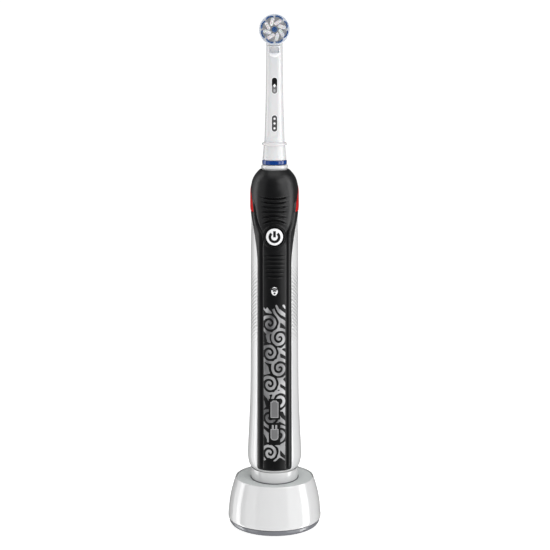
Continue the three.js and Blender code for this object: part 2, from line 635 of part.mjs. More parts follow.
function buildPowerPack() {
  const { railIn, railOut, railHalfDepth } = chassis;
  const rails = [-1, 1].map((side) => {
    const [a, b] = side < 0 ? [-railOut, -railIn] : [railIn, railOut];
    return box(a, b, -railHalfDepth, railHalfDepth, chassis.bottom, chassis.top);
  });
  const floor = rod(railOut, chassis.bottom, chassis.floorTop, SIDES.medium);
  const bulkhead = rod(railOut, chassis.bulkhead, chassis.bulkheadTop, SIDES.medium);
  const boardRoom = box(-REACH, REACH, -REACH, board.back + GAP, chassis.bottom - 1, chassis.top + 1);
  const pinHole = rodAlongX(pivot.hole, -REACH, REACH, 0, pivot.height, SIDES.small);
  add('chassis', cut(join(floor, bulkhead, ...rails), boardRoom, pinHole), COLOURS.darkGrey);

  const cell = rod(battery.radius, battery.bottom, battery.top, SIDES.medium, 0, battery.y);
  add('battery_cell', cell, COLOURS.cell);
  add('battery_contact_bottom', contactTab(chassis.floorTop + GAP, battery.bottom - GAP), COLOURS.brass);
  add('battery_contact_top', contactTab(battery.top + GAP, chassis.bulkhead - GAP), COLOURS.brass);
  add('pressure_spring', coilAlongY(pressureSpring), COLOURS.steel);

  const cap = socket;
  const capDisc = ovalise(turned([[0, handle.bottom], [cap.capRadius, handle.bottom],
    [cap.capRadius, cap.capTop], [0, cap.capTop]], SIDES.handle), handle.wall);
  const sleeve = rod(cap.radius + cap.wall, handle.bottom, cap.top + cap.wall, SIDES.medium);
  const bore = rod(cap.radius, handle.bottom - 1, cap.top, SIDES.medium);
  add('bottom_cap', cut(join(capDisc, sleeve), bore), COLOURS.matteWhite);
  const coilInner = cap.radius + cap.wall + GAP;
  const coil = ring(coilInner, receiverCoil.outer, receiverCoil.bottom, receiverCoil.top);
  add('receiver_coil', coil, COLOURS.copper);
  const sealBottom = cap.capTop + GAP;
  const seal = ring(bottomSeal.inner, bottomSeal.outer, sealBottom, sealBottom + bottomSeal.thickness);
  add('bottom_seal', seal, COLOURS.darkGrey);
}

// A bent spring tab between two heights: two flat leaves joined by a post.
function contactTab(zMin, zMax) {
  const { leaf, halfWidth, front, back, postWidth } = contact;
  const leafAt = (z) => box(-halfWidth, halfWidth, front, back, z, z + leaf);
  const post = box(-halfWidth, postWidth - halfWidth, front, back, zMin, zMax);
  return join(leafAt(zMin), leafAt(zMax - leaf), post);
}

class HelixAlongY extends THREE.Curve {
  constructor(coil) {
    super();
    this.coil = coil;
  }

  getPoint(t, target = new THREE.Vector3()) {
    const { coil, turns, front, back, height, radius } = this.coil;
    const angle = t * turns * Math.PI * 2;
    const y = THREE.MathUtils.lerp(front + radius, back - radius, t);
    return target.set(coil * Math.cos(angle), y, height + coil * Math.sin(angle));
  }
}

function circleShape(radius, sides) {
  const shape = new THREE.Shape();
  for (let i = 0; i < sides; i += 1) {
    const angle = (i / sides) * Math.PI * 2;
    const point = [radius * Math.cos(angle), radius * Math.sin(angle)];
    if (i === 0) shape.moveTo(...point);
    else shape.lineTo(...point);
  }
  return shape;
}

function coilAlongY(wire) {
  return new THREE.ExtrudeGeometry(circleShape(wire.radius, 5), {
    steps: wire.turns * 10, extrudePath: new HelixAlongY(wire),
  });
}

// ---------------------------------------------------------------- drive unit

function buildDriveUnit() {
  const d = drive;
  add('drive_frame', driveFrame(), COLOURS.matteWhite);

  const can = new THREE.Shape();
  const flatAngle = Math.asin(d.motor.halfDepth / d.motor.radius);
  can.absarc(0, 0, d.motor.radius, -flatAngle, flatAngle);
  can.absarc(0, 0, d.motor.radius, Math.PI - flatAngle, Math.PI + flatAngle);
  const roomBottom = d.motor.top - d.motor.shaftRoomDepth;
  const shaftRoom = rod(d.motor.shaftRoom, roomBottom, d.motor.top + 1, SIDES.tiny);
  const motor = cut(plate(can, d.motor.bottom, d.motor.top), shaftRoom);
  add('motor_can', motor, COLOURS.steel).position.y = gear.motorY;

  for (const side of [-1, 1]) {
    const name = side < 0 ? 'left' : 'right';
    const [a, b] = side < 0 ? [-pivot.pinOut, -pivot.pinIn] : [pivot.pinIn, pivot.pinOut];
    add(`pivot_pin_${name}`, rodAlongX(pivot.pinRadius, a, b, 0, pivot.height), COLOURS.steel);
    add(`motor_screw_${name}`, motorScrew(), COLOURS.steel).position.set(side * SCREW_X, gear.motorY, 0);
  }

  const [axleBottom, axleTop] = [d.motorPlate.top + GAP, d.gearTop + GAP];
  add('crank_axle', rod(gear.axleRadius, axleBottom, axleTop, SIDES.small, 0, gear.wheelY), COLOURS.steel);
  const bushes = { lower_bush: d.lowerBush, upper_bush: d.upperBush };
  for (const [name, { bottom, top }] of Object.entries(bushes)) {
    add(name, ring(d.shaftRadius + d.bushGap, d.noseBore - d.pressGap, bottom, top), COLOURS.brass);
  }
  const seal = ring(d.shaftRadius + d.sealGap, d.noseRadius - GAP, d.noseTop + GAP, d.noseTop + 1);
  add('shaft_seal', seal, COLOURS.darkGrey);
  add('neck_collar', neckCollar(), COLOURS.white);
}

// The white cap over the nose tube, with a skirt that reaches down inside the neck seal.
function neckCollar() {
  const { collar, noseRadius } = drive;
  const inner = noseRadius + GAP;
  const side = COLLAR_SIDE.map(({ radius, z }) => [radius, z]);
  return turned([
    [collar.bore, collar.top], ...side, [inner, collar.skirtBottom], [inner, collar.roofBottom],
    [collar.bore, collar.roofBottom],
  ], SIDES.large);
}

function motorScrew() {
  const { motorPlate, screw } = drive;
  const headBottom = motorPlate.top + GAP;
  const headOfScrew = rod(screw.headRadius, headBottom, headBottom + screw.headHeight, SIDES.tiny);
  const shank = rod(screw.radius, motorPlate.bottom + GAP, headBottom + SINK, SIDES.tiny);
  return join(headOfScrew, shank);
}

// Motor plate, two posts, upper plate and the nose tube that carries the shaft, with the pivot bosses.
function driveFrame() {
  const d = drive;
  const outline = new THREE.Shape();
  outline.absarc(0, 0, d.plateRadius, -d.plateFlatAngle, d.plateFlatAngle);
  outline.absarc(0, 0, d.plateRadius, Math.PI - d.plateFlatAngle, Math.PI + d.plateFlatAngle);
  const postFrom = d.motorPlate.top - SINK;
  const postTo = d.upperPlate.bottom + SINK;
  const body = join(
    plate(outline, d.motorPlate.bottom, d.motorPlate.top),
    plate(outline, d.upperPlate.bottom, d.upperPlate.top),
    box(-d.post.out, -d.post.in, d.post.front, d.post.back, postFrom, postTo),
    box(d.post.in, d.post.out, d.post.front, d.post.back, postFrom, postTo),
    rod(d.noseRadius, d.upperPlate.top - SINK, d.noseTop, SIDES.medium),
    rodAlongX(pivot.bossRadius, -d.post.out, d.post.out, 0, pivot.height, SIDES.small));
  const throughPlate = [d.motorPlate.bottom - 1, d.motorPlate.top + 1];
  const bore = rod(d.noseBore, d.upperPlate.bottom - 1, d.noseTop + 1, SIDES.medium);
  const pinHole = rodAlongX(pivot.hole, -REACH, REACH, 0, pivot.height, SIDES.small);
  const pinionHole = rod(d.motorPlate.pinionHole, ...throughPlate, SIDES.medium, 0, gear.motorY);
  const screwHoleAt = (x) => rod(d.screw.hole, ...throughPlate, SIDES.tiny, x, gear.motorY);
  const screwHoles = [-SCREW_X, SCREW_X].map(screwHoleAt);
  return cut(body, bore, pinHole, pinionHole, ...screwHoles);
}

// An involute gear outline; a tooth points along +x unless the rotation says otherwise.
function gearShape(teeth, rotation) {
  const pitch = gear.module * teeth / 2;
  const base = pitch * Math.cos(gear.pressureAngle);
  const tip = pitch + gear.addendum * gear.module;
  const root = pitch - gear.dedendum * gear.module;
  const involute = (radius) => Math.tan(Math.acos(base / radius)) - Math.acos(base / radius);
  const halfTooth = Math.PI / (2 * teeth) - gear.backlash / (2 * pitch) + involute(pitch);
  const flankStart = Math.max(base, root);
  const radii = [0, 0.5, 1].map((t) => THREE.MathUtils.lerp(flankStart, tip, t));
  const shape = new THREE.Shape();
  for (let tooth = 0; tooth < teeth; tooth += 1) {
    const middle = rotation + tooth * Math.PI * 2 / teeth;
    const rising = radii.map((radius) => [radius, middle - halfTooth + involute(radius)]);
    const falling = radii.map((radius) => [radius, middle + halfTooth - involute(radius)]).reverse();
    const halfFoot = halfTooth + gear.footSpread;
    const points = [[root, middle - halfFoot], ...rising, ...falling, [root, middle + halfFoot]];
    points.forEach(([radius, angle], i) => {
      const place = [radius * Math.cos(angle), radius * Math.sin(angle)];
      if (tooth === 0 && i === 0) shape.moveTo(...place);
      else shape.lineTo(...place);
    });
  }
  return shape;
}

function buildGearTrain() {
  const d = drive;
  const toPinion = -Math.PI / 2;
  const throughGear = [d.gearBottom - 1, d.gearTop + 1];
  const axleHole = rod(gear.axleRadius + gear.boreGap, ...throughGear, SIDES.small);
  const wheel = plate(gearShape(gear.wheelTeeth, toPinion), d.gearBottom, d.gearTop);
  const pinBottom = d.gearTop - SINK;
  const crankPin = rod(gear.crankPinRadius, pinBottom, d.crankPinTop, SIDES.tiny, 0, gear.crankRadius);
  add('crank_gear', cut(join(wheel, crankPin), axleHole), COLOURS.brass).position.y = gear.wheelY;

  const halfPitch = Math.PI / gear.pinionTeeth;
  const pinionShape = gearShape(gear.pinionTeeth, -toPinion + halfPitch);
  const pinion = plate(pinionShape, d.gearBottom, d.gearTop + gear.pinionRaise);
  const shaftHole = rod(gear.motorShaftRadius + gear.boreGap, ...throughGear, SIDES.tiny);
  add('motor_pinion', cut(pinion, shaftHole), COLOURS.brass).position.y = gear.motorY;
  const [shaftFoot, shaftEnd] = [d.motor.top - d.motorShaft.depth, d.gearTop + d.motorShaft.above];
  const motorShaft = rod(gear.motorShaftRadius, shaftFoot, shaftEnd, SIDES.tiny);
  add('motor_shaft', motorShaft, COLOURS.steel).position.y = gear.motorY;

  const flat = box(-REACH, REACH, d.flatY, REACH, d.flatFrom, d.shaftTop + 1);
  const lowerFlat = box(-REACH, REACH, -REACH, -d.flatY, d.shaftBottom - 1, d.rocker.top + SINK);
  const shaft = rod(d.shaftRadius, d.shaftBottom, d.shaftTop, SIDES.medium);
  add('drive_shaft', cut(shaft, flat, lowerFlat), COLOURS.steel);
  add('rocker_fork', rockerFork(), COLOURS.steel);
}

// A plate keyed on the shaft's foot, with a slot that the crank pin works in.
function rockerFork() {
  const { rocker, shaftRadius, flatY } = drive;
  const slot = { start: 2.9, end: 6.5, halfWidth: 0.75, rim: 0.95 };
  const hubRadius = 3;
  const keyGap = 0.08;
  const armHalf = slot.halfWidth + slot.rim;
  const hub = rod(hubRadius, rocker.bottom, rocker.top, SIDES.medium);
  const arm = box(-armHalf, armHalf, 0, slot.end + slot.rim, rocker.bottom, rocker.top);
  const throughPlate = [rocker.bottom - 1, rocker.top + 1];
  const window = box(-slot.halfWidth, slot.halfWidth, slot.start, slot.end, ...throughPlate);
  const hole = rod(shaftRadius + keyGap, ...throughPlate, SIDES.medium);
  const key = box(-REACH, REACH, -REACH, -flatY - keyGap, rocker.bottom - 2, rocker.top + 2);
  return cut(join(hub, arm), window, cut(hole, key));
}

// ---------------------------------------------------------------- brush head

function buildHead() {
  const h = head;
  add('head_tube', headTube(), COLOURS.white);
  add('id_ring', ring(h.ringBore, h.ringRadius, h.ringBottom, h.ringTop, SIDES.large), COLOURS.blue);
  const { radius, length } = h.pin;
  const pin = rodAlongY(radius, h.disc.back - length, h.cup.cavityBack + length, 0, h.discCentre);
  add('disc_pin', pin, COLOURS.steel);
  add('head_sleeve', headSleeve(), COLOURS.matteWhite);
  add('tie_rod', tieRod(), COLOURS.steel);
}

// The hub inside the tube that drops over the shaft and is turned by the shaft's flat.
function headSleeve() {
  const { sleeve, rod: tie, keyGap } = head;
  const { shaftRadius, shaftTop, flatY } = drive;
  const roundBore = rod(shaftRadius + keyGap, sleeve.bottom - 5, shaftTop + 0.5, SIDES.medium);
  const key = box(-REACH, REACH, flatY + keyGap, REACH, sleeve.bottom - 6, shaftTop + 2);
  const rodHole = rod(tie.hole, shaftTop, tie.holeTop, SIDES.tiny);
  return cut(rod(sleeve.radius, sleeve.bottom, sleeve.top, SIDES.medium), cut(roundBore, key), rodHole);
}

// The tube's outer side, from the spigot inside the ring up over the skirt, the waist and the flange.
function tubeSide() {
  const h = head;
  const { radius, bottom, top } = h.flange;
  const bevel = { side: 0.1, height: 0.5, upper: 0.15 };
  const tube = [h.tubeBottom, h.tubeMiddle, h.tubeNeck, h.tubeTop].map((level) => [level.radius, level.z]);
  return [
    [h.spigotRadius, h.ringBottom + GAP / 2], [h.spigotRadius, h.skirtBottom],
    [h.skirtRadius, h.skirtBottom], [h.waist.radius, h.waist.z],
    [radius - bevel.side, bottom], [radius, bottom + bevel.height],
    [radius, top - bevel.height], [radius - bevel.upper, top], ...tube,
  ];
}

function headTube() {
  const h = head;
  const { front, back, radius, cavityRadius, cavityBack } = h.cup;
  const body = turned([
    [h.lowerBore, h.ringBottom + GAP / 2], ...tubeSide(), [h.upperBore, h.tubeTop.z],
    [h.upperBore, h.lowerBoreTop + 1], [h.lowerBore, h.lowerBoreTop],
  ], SIDES.medium);
  const cupOutline = new THREE.Shape().absarc(0, h.discCentre, radius, 0, Math.PI * 2);
  const cup = frontPrism(cupOutline, front - 1, back, 8);
  const cavity = rodAlongY(cavityRadius, front - 6, cavityBack, 0, h.discCentre, SIDES.medium);
  const channel = rod(h.upperBore - 0.1, h.channelBottom, h.discCentre - 2, SIDES.medium);
  const discRoom = box(-REACH, REACH, -REACH, front, h.discRoomBottom, h.discRoomBottom + 50);
  const { halfWidth, bottom, top, depth } = h.window;
  const window = box(-halfWidth, halfWidth, -REACH, depth, bottom, top);
  const pinHole = rodAlongY(h.pin.hole, 0, cavityBack + 1.2, 0, h.discCentre, SIDES.small);
  return cut(join(body, cup), cavity, channel, discRoom, window, pinHole);
}

// Straight up the middle of the tube, then cranked forward into the disc's back.
function tieRod() {
  const h = head;
  const { straight, drop, lead, turn, turnDrop, level, tip } = tieRodBend;
  const endHeight = h.discCentre - h.slotRadius;
  const stops = [
    [0, drive.shaftTop + 1], ...straight.map((z) => [0, z]), [lead, endHeight - drop],
    [turn, endHeight - turnDrop], [level, endHeight], [-h.crankOffset - tip, endHeight],
  ];
  const points = stops.map(([y, z]) => new THREE.Vector3(0, y, z));
  const path = new THREE.CatmullRomCurve3(points, false, 'centripetal');
  return new THREE.ExtrudeGeometry(circleShape(h.rod.radius, 8), { steps: 26, extrudePath: path });
}

function buildDisc() {
  const h = head;
  const disc = new THREE.Group();
  disc.position.z = h.discCentre;
  toothbrush.add(disc);

  const { radius, back, front } = h.disc;
  const blank = rodAlongY(radius, front, back, 0, 0, SIDES.large);
  const pinHole = rodAlongY(h.pin.hole, back - h.disc.pinDepth, back + 1, 0, 0);
  const rodHole = rodAlongY(h.pin.hole, back - h.disc.rodDepth, back + 1, 0, -h.slotRadius);
  add('brush_disc', cut(blank, pinHole, rodHole), COLOURS.white, disc);

  const rootBack = front - GAP;
  const rootFront = rootBack - h.tuftRoot;
  const roots = ({ rootIn, rootOut }) => frontPrism(annulus(rootIn, rootOut), rootFront, rootBack, 8);
  const turns = Array.from({ length: TUFT_COUNT }, (_, i) => i * Math.PI * 2 / TUFT_COUNT);
  const tufts = (shapeAt) => turns.map((turn) => frontPrism(shapeAt(turn), h.tuftFront, rootBack, 3));
  add('outer_tufts', join(roots(h.outerTufts), ...tufts(outerTuft)), COLOURS.blue, disc);
  add('inner_tufts', join(roots(h.innerTufts), ...tufts(innerTuft)), COLOURS.matteWhite, disc);
  const centre = rodAlongY(h.centreTuft.radius, h.tuftFront + h.centreTuft.drop, rootBack, 0, 0);
  add('centre_tuft', centre, COLOURS.blue, disc);
}

function annulus(inner, outer) {
  const shape = new THREE.Shape().absarc(0, 0, outer, 0, Math.PI * 2);
  shape.holes.push(new THREE.Path().absarc(0, 0, inner, 0, Math.PI * 2));
  return shape;
}

// A short arc of bristles near the disc's edge.
function outerTuft(angle) {
  const { inner, outer, halfTurn } = head.outerTufts;
  const shape = new THREE.Shape();
  shape.absarc(0, 0, outer, angle - halfTurn, angle + halfTurn);
  shape.absarc(0, 0, inner, angle + halfTurn, angle - halfTurn, true);
  return shape;
}

// One blade of the pinwheel: it leaves the middle and curls round towards the edge.
function innerTuft(angle) {
  const at = ([radius, turn]) => [radius * Math.cos(angle + turn), radius * Math.sin(angle + turn)];
  const shape = new THREE.Shape();
  shape.moveTo(...at(BLADE.start));
  shape.quadraticCurveTo(...at(BLADE.frontBend), ...at(BLADE.tip));
  shape.lineTo(...at(BLADE.tipEnd));
  shape.quadraticCurveTo(...at(BLADE.backBend), ...at(BLADE.end));
  return shape;
}

buildCharger();
buildHandleShells();
buildControls();
buildPowerPack();
buildDriveUnit();
buildGearTrain();
buildHead();
buildDisc();

export default toothbrush;
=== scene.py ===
"""Looks of the electric toothbrush on its charger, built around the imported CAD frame.

Shapes are drawn in millimetres in the CAD frame and scaled to metres when their mesh is made.
"""
import math
import random

import bpy
import bmesh
import numpy as np
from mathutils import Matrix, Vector


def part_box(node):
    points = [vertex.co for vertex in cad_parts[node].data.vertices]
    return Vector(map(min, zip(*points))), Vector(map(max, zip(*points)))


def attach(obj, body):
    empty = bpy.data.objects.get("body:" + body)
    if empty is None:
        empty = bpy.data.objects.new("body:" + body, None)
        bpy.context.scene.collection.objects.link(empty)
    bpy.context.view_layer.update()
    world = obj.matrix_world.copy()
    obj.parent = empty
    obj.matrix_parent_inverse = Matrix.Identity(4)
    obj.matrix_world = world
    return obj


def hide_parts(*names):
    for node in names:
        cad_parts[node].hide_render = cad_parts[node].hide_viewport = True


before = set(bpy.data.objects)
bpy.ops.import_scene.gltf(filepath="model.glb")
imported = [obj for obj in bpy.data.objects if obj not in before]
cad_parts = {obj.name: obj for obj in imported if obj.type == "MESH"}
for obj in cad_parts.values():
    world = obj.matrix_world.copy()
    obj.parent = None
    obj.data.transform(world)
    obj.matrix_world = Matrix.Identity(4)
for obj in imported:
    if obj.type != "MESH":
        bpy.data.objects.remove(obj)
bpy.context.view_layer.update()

MM = 0.001
random.seed(7)


def box_mm(node):
    """Lowest and highest corner of a CAD node, in millimetres."""
    low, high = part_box(node)
    return Vector(low) / MM, Vector(high) / MM


# ------------------------------------------------------------------ camera and light

CAMERA_AIM_HEIGHT = 133.7      # mm, half way up the object as the camera sees it
CAMERA_DISTANCE = 724.0        # mm from the aim point
CAMERA_ELEVATION = math.radians(9.6)
CAMERA_SIDE = 0.25             # mm to the right of the object's axis
CAMERA_LENS = 91.64            # mm on a 36 mm sensor


def make_camera():
    data = bpy.data.cameras.new("camera")
    data.sensor_width = 36
    data.lens = CAMERA_LENS
    data.clip_start = 0.01
    camera = bpy.data.objects.new("camera", data)
    bpy.context.collection.objects.link(camera)
    back = Vector((0, -math.cos(CAMERA_ELEVATION), math.sin(CAMERA_ELEVATION)))
    camera.location = (Vector((CAMERA_SIDE, 0, CAMERA_AIM_HEIGHT)) + back * CAMERA_DISTANCE) * MM
    camera.rotation_mode = "QUATERNION"
    camera.rotation_quaternion = (-back).to_track_quat("-Z", "Y")
    bpy.context.scene.camera = camera


LIGHT_AIM_HEIGHT = 0.13        # m
BACKDROP_WHITE = 1.05          # what the camera sees behind the object
ROOM_LIGHT = 0.40              # how much the room around the object lights it
ROOM_REFLECTION = 0.16         # the darker room that the object mirrors
FLOOR_RADIUS = 6.0             # m
FLOOR_GLOW = 0.86              # how brightly the white floor shines of itself

# Lights that are seen only in the gloss: azimuth, distance, height, (width, height) in metres, and radiance.
REFLECTED_LIGHTS = {
    "right_strip": (82, 0.25, 0.1, (0.095, 0.8), 4.5),
    "right_softbox": (60, 0.26, 0.1, (0.26, 0.8), 1.3),
    "neck_strip": (50, 0.26, 0.185, (0.022, 0.09), 9.0),
    "left_strip": (-98, 0.26, 0.1, (0.07, 0.8), 2.6),
    "left_softbox": (-108, 0.27, 0.1, (0.16, 0.8), 1.5),
    "left_front_softbox": (-62, 0.3, 0.1, (0.16, 0.8), 0.9),
}


def softbox(name, azimuth, distance, height, size, radiance, reflection_only=False):
    """A rectangular light that faces the object; azimuth runs from the front (0) round to its right side."""
    data = bpy.data.lights.new(name, "AREA")
    data.shape = "RECTANGLE"
    data.size, data.size_y = size
    data.energy = math.pi * size[0] * size[1] * radiance
    light = bpy.data.objects.new(name, data)
    bpy.context.collection.objects.link(light)
    turn = math.radians(azimuth)
    light.location = (distance * math.sin(turn), -distance * math.cos(turn), height)
    aim = Vector((0, 0, height if reflection_only else LIGHT_AIM_HEIGHT))
    light.rotation_mode = "QUATERNION"
    light.rotation_quaternion = (aim - light.location).to_track_quat("-Z", "Y")
    light.visible_camera = False
    light.visible_diffuse = not reflection_only


def make_lights():
    for name, settings in REFLECTED_LIGHTS.items():
        softbox(name, *settings, reflection_only=True)
    softbox("front_fill", 38, 0.85, 0.7, (0.6, 0.6), 2.9)
    softbox("overhead", 0, 0.15, 1.2, (0.9, 0.9), 2.0)
    world = bpy.data.worlds.new("studio")
    bpy.context.scene.world = world
    world.use_nodes = True
    tree = world.node_tree
    background = tree.nodes["Background"]
    background.inputs["Color"].default_value = (1, 1, 1, 1)
    light_path = tree.nodes.new("ShaderNodeLightPath")
    room = tree.nodes.new("ShaderNodeMapRange")
    room.inputs["To Min"].default_value = ROOM_LIGHT
    room.inputs["To Max"].default_value = ROOM_REFLECTION
    tree.links.new(light_path.outputs["Is Glossy Ray"], room.inputs["Value"])
    strength = tree.nodes.new("ShaderNodeMapRange")
    strength.inputs["To Max"].default_value = BACKDROP_WHITE
    tree.links.new(room.outputs["Result"], strength.inputs["To Min"])
    tree.links.new(light_path.outputs["Is Camera Ray"], strength.inputs["Value"])
    tree.links.new(strength.outputs["Result"], background.inputs["Strength"])
    bpy.context.scene.view_settings.view_transform = "Standard"


def make_floor():
    bpy.ops.mesh.primitive_circle_add(vertices=96, radius=FLOOR_RADIUS, fill_type="NGON")
    floor = bpy.context.object
    floor.name = "floor"
    floor.visible_glossy = False
    white = plain_material("floor_white", (0.5, 0.5, 0.5), 0.95)
    shader = white.node_tree.nodes["Principled BSDF"]
    shader.inputs["Emission Color"].default_value = (1, 1, 1, 1)
    shader.inputs["Emission Strength"].default_value = FLOOR_GLOW
    shader.inputs["Specular IOR Level"].default_value = 0.0
    floor.data.materials.append(white)


# ------------------------------------------------------------------ materials

def plain_material(name, colour, roughness):
    material = bpy.data.materials.new(name)
    material.use_nodes = True
    shader = material.node_tree.nodes["Principled BSDF"]
    shader.inputs["Base Color"].default_value = (*colour, 1)
    shader.inputs["Roughness"].default_value = roughness
    return material


class Nodes:
    """Short ways to add and join shader nodes in one material."""

    def __init__(self, name):
        self.material = bpy.data.materials.new(name)
        self.material.use_nodes = True
        self.tree = self.material.node_tree
        self.shader = self.tree.nodes["Principled BSDF"]
        self.place = self.tree.nodes.new("ShaderNodeTexCoord").outputs["Object"]
        self.normal = None

    def add(self, kind, inputs=None, **settings):
        node = self.tree.nodes.new(kind)
        for key, value in settings.items():
            setattr(node, key, value)
        for key, value in (inputs or {}).items():
            if isinstance(value, bpy.types.NodeSocket):
                self.tree.links.new(value, node.inputs[key])
            else:
                node.inputs[key].default_value = value
        return node

    def stretched(self, scale, turn=(0, 0, 0)):
        """Object coordinates in metres, multiplied by scale and turned."""
        mapping = self.add("ShaderNodeMapping", {"Vector": self.place, "Scale": scale, "Rotation": turn})
        return mapping.outputs["Vector"]

    def noise(self, scale, detail=2.0, vector=None):
        source = vector if vector is not None else self.place
        inputs = {"Vector": source, "Scale": scale, "Detail": detail}
        return self.add("ShaderNodeTexNoise", inputs).outputs["Fac"]

    def wave(self, scale, vector):
        inputs = {"Vector": vector, "Scale": scale, "Distortion": 0.0}
        return self.add("ShaderNodeTexWave", inputs, bands_direction="Z").outputs["Fac"]

    def spread(self, value, low, high):
        """Maps a 0 to 1 value onto low to high."""
        inputs = {"Value": value, "To Min": low, "To Max": high}
        return self.add("ShaderNodeMapRange", inputs).outputs["Result"]

    def between(self, value, start, end):
        """0 where the value is at start and 1 where it is at end."""
        inputs = {"Value": value, "From Min": start, "From Max": end}
        return self.add("ShaderNodeMapRange", inputs).outputs["Result"]

    def times(self, first, second):
        return self.add("ShaderNodeMath", {0: first, 1: second}, operation="MULTIPLY").outputs["Value"]

    def ramp(self, value, *stops):
        node = self.add("ShaderNodeValToRGB", {"Fac": value})
        elements = node.color_ramp.elements
        for element, (position, colour) in zip(elements, stops[:2]):
            element.position, element.color = position, (*colour, 1)
        for position, colour in stops[2:]:
            elements.new(position).color = (*colour, 1)
        return node.outputs["Color"]

    def bump(self, height, depth_mm, strength=1.0):
        """Adds one layer of relief; depth is how tall a full step of the height is."""
        inputs = {"Height": height, "Distance": depth_mm * MM, "Strength": strength}
        if self.normal is not None:
            inputs["Normal"] = self.normal
        self.normal = self.add("ShaderNodeBump", inputs).outputs["Normal"]
        self.tree.links.new(self.normal, self.shader.inputs["Normal"])

    def feed(self, socket, value):
        self.tree.links.new(value, self.shader.inputs[socket])

    def fix(self, **values):
        for key, value in values.items():
            self.shader.inputs[key.replace("_", " ")].default_value = value


def tinted(colour, factor):
    return tuple(min(1.0, channel * factor) for channel in colour)


WHITE = (0.76, 0.762, 0.765)


def moulded(name, colour, roughness, grain_mm=0.02, cloud=0.04, fine=9000.0, **fixed):
    """Moulded plastic or rubber: a cloudy tint, a fine grain and handling marks in its gloss."""
    n = Nodes(name)
    clouds = n.noise(60.0, 3.0)
    n.feed("Base Color", n.ramp(clouds, (0.3, tinted(colour, 1 - cloud)), (0.7, tinted(colour, 1 + cloud))))
    smudges = n.noise(180.0, 4.0, n.stretched((1.0, 1.0, 0.35)))
    n.feed("Roughness", n.spread(smudges, roughness * 0.85, roughness * 1.2))
    n.bump(n.noise(fine, 2.0), grain_mm)
    n.fix(**fixed)
    return n


def metal(name, colour, roughness, lines=(1, 1, 40), **fixed):
    """Drawn or turned metal with fine lines across one direction."""
    n = Nodes(name)
    scratches = n.noise(900.0, 3.0, n.stretched(lines))
    n.feed("Base Color", n.ramp(scratches, (0.25, tinted(colour, 0.82)), (0.8, tinted(colour, 1.08))))
    n.feed("Roughness", n.spread(scratches, roughness * 0.7, roughness * 1.4))
    n.bump(scratches, 0.01)
    n.fix(Metallic=1.0, **fixed)
    return n


def winding(name, colour):
    """Enamelled copper wire wound in neat turns."""
    n = Nodes(name)
    turns = n.wave(1.0, n.stretched((0, 0, 900)))
    n.feed("Base Color", n.ramp(turns, (0.05, tinted(colour, 0.35)), (0.6, colour)))
    n.feed("Roughness", n.spread(turns, 0.5, 0.28))
    n.bump(turns, 0.12)
    n.fix(Metallic=0.85)
    return n


def board_material(name):
    """Green solder resist with copper tracks and pads under it."""
    n = Nodes(name)
    inputs = {"Vector": n.stretched((1, 1, 1)), "Scale": 260.0, "Mortar Size": 0.035}
    tracks = n.add("ShaderNodeTexBrick", inputs).outputs["Fac"]
    n.feed("Base Color", n.ramp(tracks, (0.2, (0.012, 0.10, 0.045)), (0.8, (0.04, 0.26, 0.12))))
    n.feed("Roughness", n.spread(n.noise(700.0), 0.3, 0.5))
    n.bump(tracks, 0.05)
    return n


GRIP_LINES = {"fade_in": (0.096, 0.110), "fade_out": (0.144, 0.130)}      # heights in metres
GRIP_LINE_SCALE = 420
GRIP_LINE_SLANT = math.radians(38)


def housing_material():
    """Glossy white housing with a band of slanting grip lines on its flanks."""
    n = moulded("white_gloss_housing", WHITE, 0.18, grain_mm=0.004, cloud=0.012,
                Coat_Weight=0.45, Coat_Roughness=0.05)
    height = n.add("ShaderNodeSeparateXYZ", {"Vector": n.place}).outputs["Z"]
    rising = n.between(height, *GRIP_LINES["fade_in"])
    falling = n.between(height, *GRIP_LINES["fade_out"])
    slant = n.stretched((0, GRIP_LINE_SCALE, GRIP_LINE_SCALE), turn=(GRIP_LINE_SLANT, 0, 0))
    lines = n.times(n.times(n.wave(0.5, slant), rising), falling)
    n.bump(lines, 0.3)
    n.feed("Base Color", n.ramp(lines, (0.25, WHITE), (0.9, tinted(WHITE, 0.86))))
    return n.material


def lens_material():
    """Deep red translucent lens with a painted glow that deepens its red."""
    n = moulded("red_lens", (0.46, 0.0, 0.0), 0.3, grain_mm=0.004, cloud=0.12, IOR=1.3,
                Subsurface_Weight=0.2, Subsurface_Scale=0.002, Specular_IOR_Level=0.25)
    # The emission is painted light: a red glow with no lamp behind it.
    n.fix(Emission_Color=(0.55, 0.0, 0.0, 1), Emission_Strength=0.18)
    return n.material


# The bristles' finishes: name, colour at the root (on the white ones a painted shade between the tufts),
# colour at the tip, and painted glow.
BRISTLES = (
    ("bristle_blue", (0.03, 0.20, 0.45), (0.004, 0.10, 0.36), 0.10),
    ("bristle_white", (0.10, 0.085, 0.08), (0.88, 0.88, 0.89), 0.27),
)


def bristle_material(name, root, tip, glow):
    """Nylon filaments coloured from root to tip; the dark roots of the white ones are painted shade between
    the tufts, and the glow is painted light that brightens the shaded tufts.
    """
    n = Nodes(name)
    depth = n.add("ShaderNodeSeparateXYZ", {"Vector": n.place}).outputs["Y"]
    along = n.between(depth, DISC_LOW.y * MM, TUFT_LOW.y * MM)
    strands = n.noise(5000.0, 1.0, n.stretched((1, 0.02, 1)))
    colour = n.ramp(along, (0.45, root), (0.97, tip))
    shade = n.ramp(strands, (0.3, (0.78, 0.78, 0.80)), (0.7, (1, 1, 1)))
    inputs = {"Factor": 1.0, "A": colour, "B": shade}
    mixed = n.add("ShaderNodeMix", inputs, data_type="RGBA", blend_type="MULTIPLY")
    n.feed("Base Color", mixed.outputs["Result"])
    # The emission is painted light that brightens the tufts where they lie in shade.
    n.feed("Emission Color", mixed.outputs["Result"])
    n.feed("Roughness", n.spread(strands, 0.25, 0.45))
    n.bump(strands, 0.01)
    n.fix(Subsurface_Weight=0.2, Subsurface_Scale=0.001, Emission_Strength=glow)
    return n.material


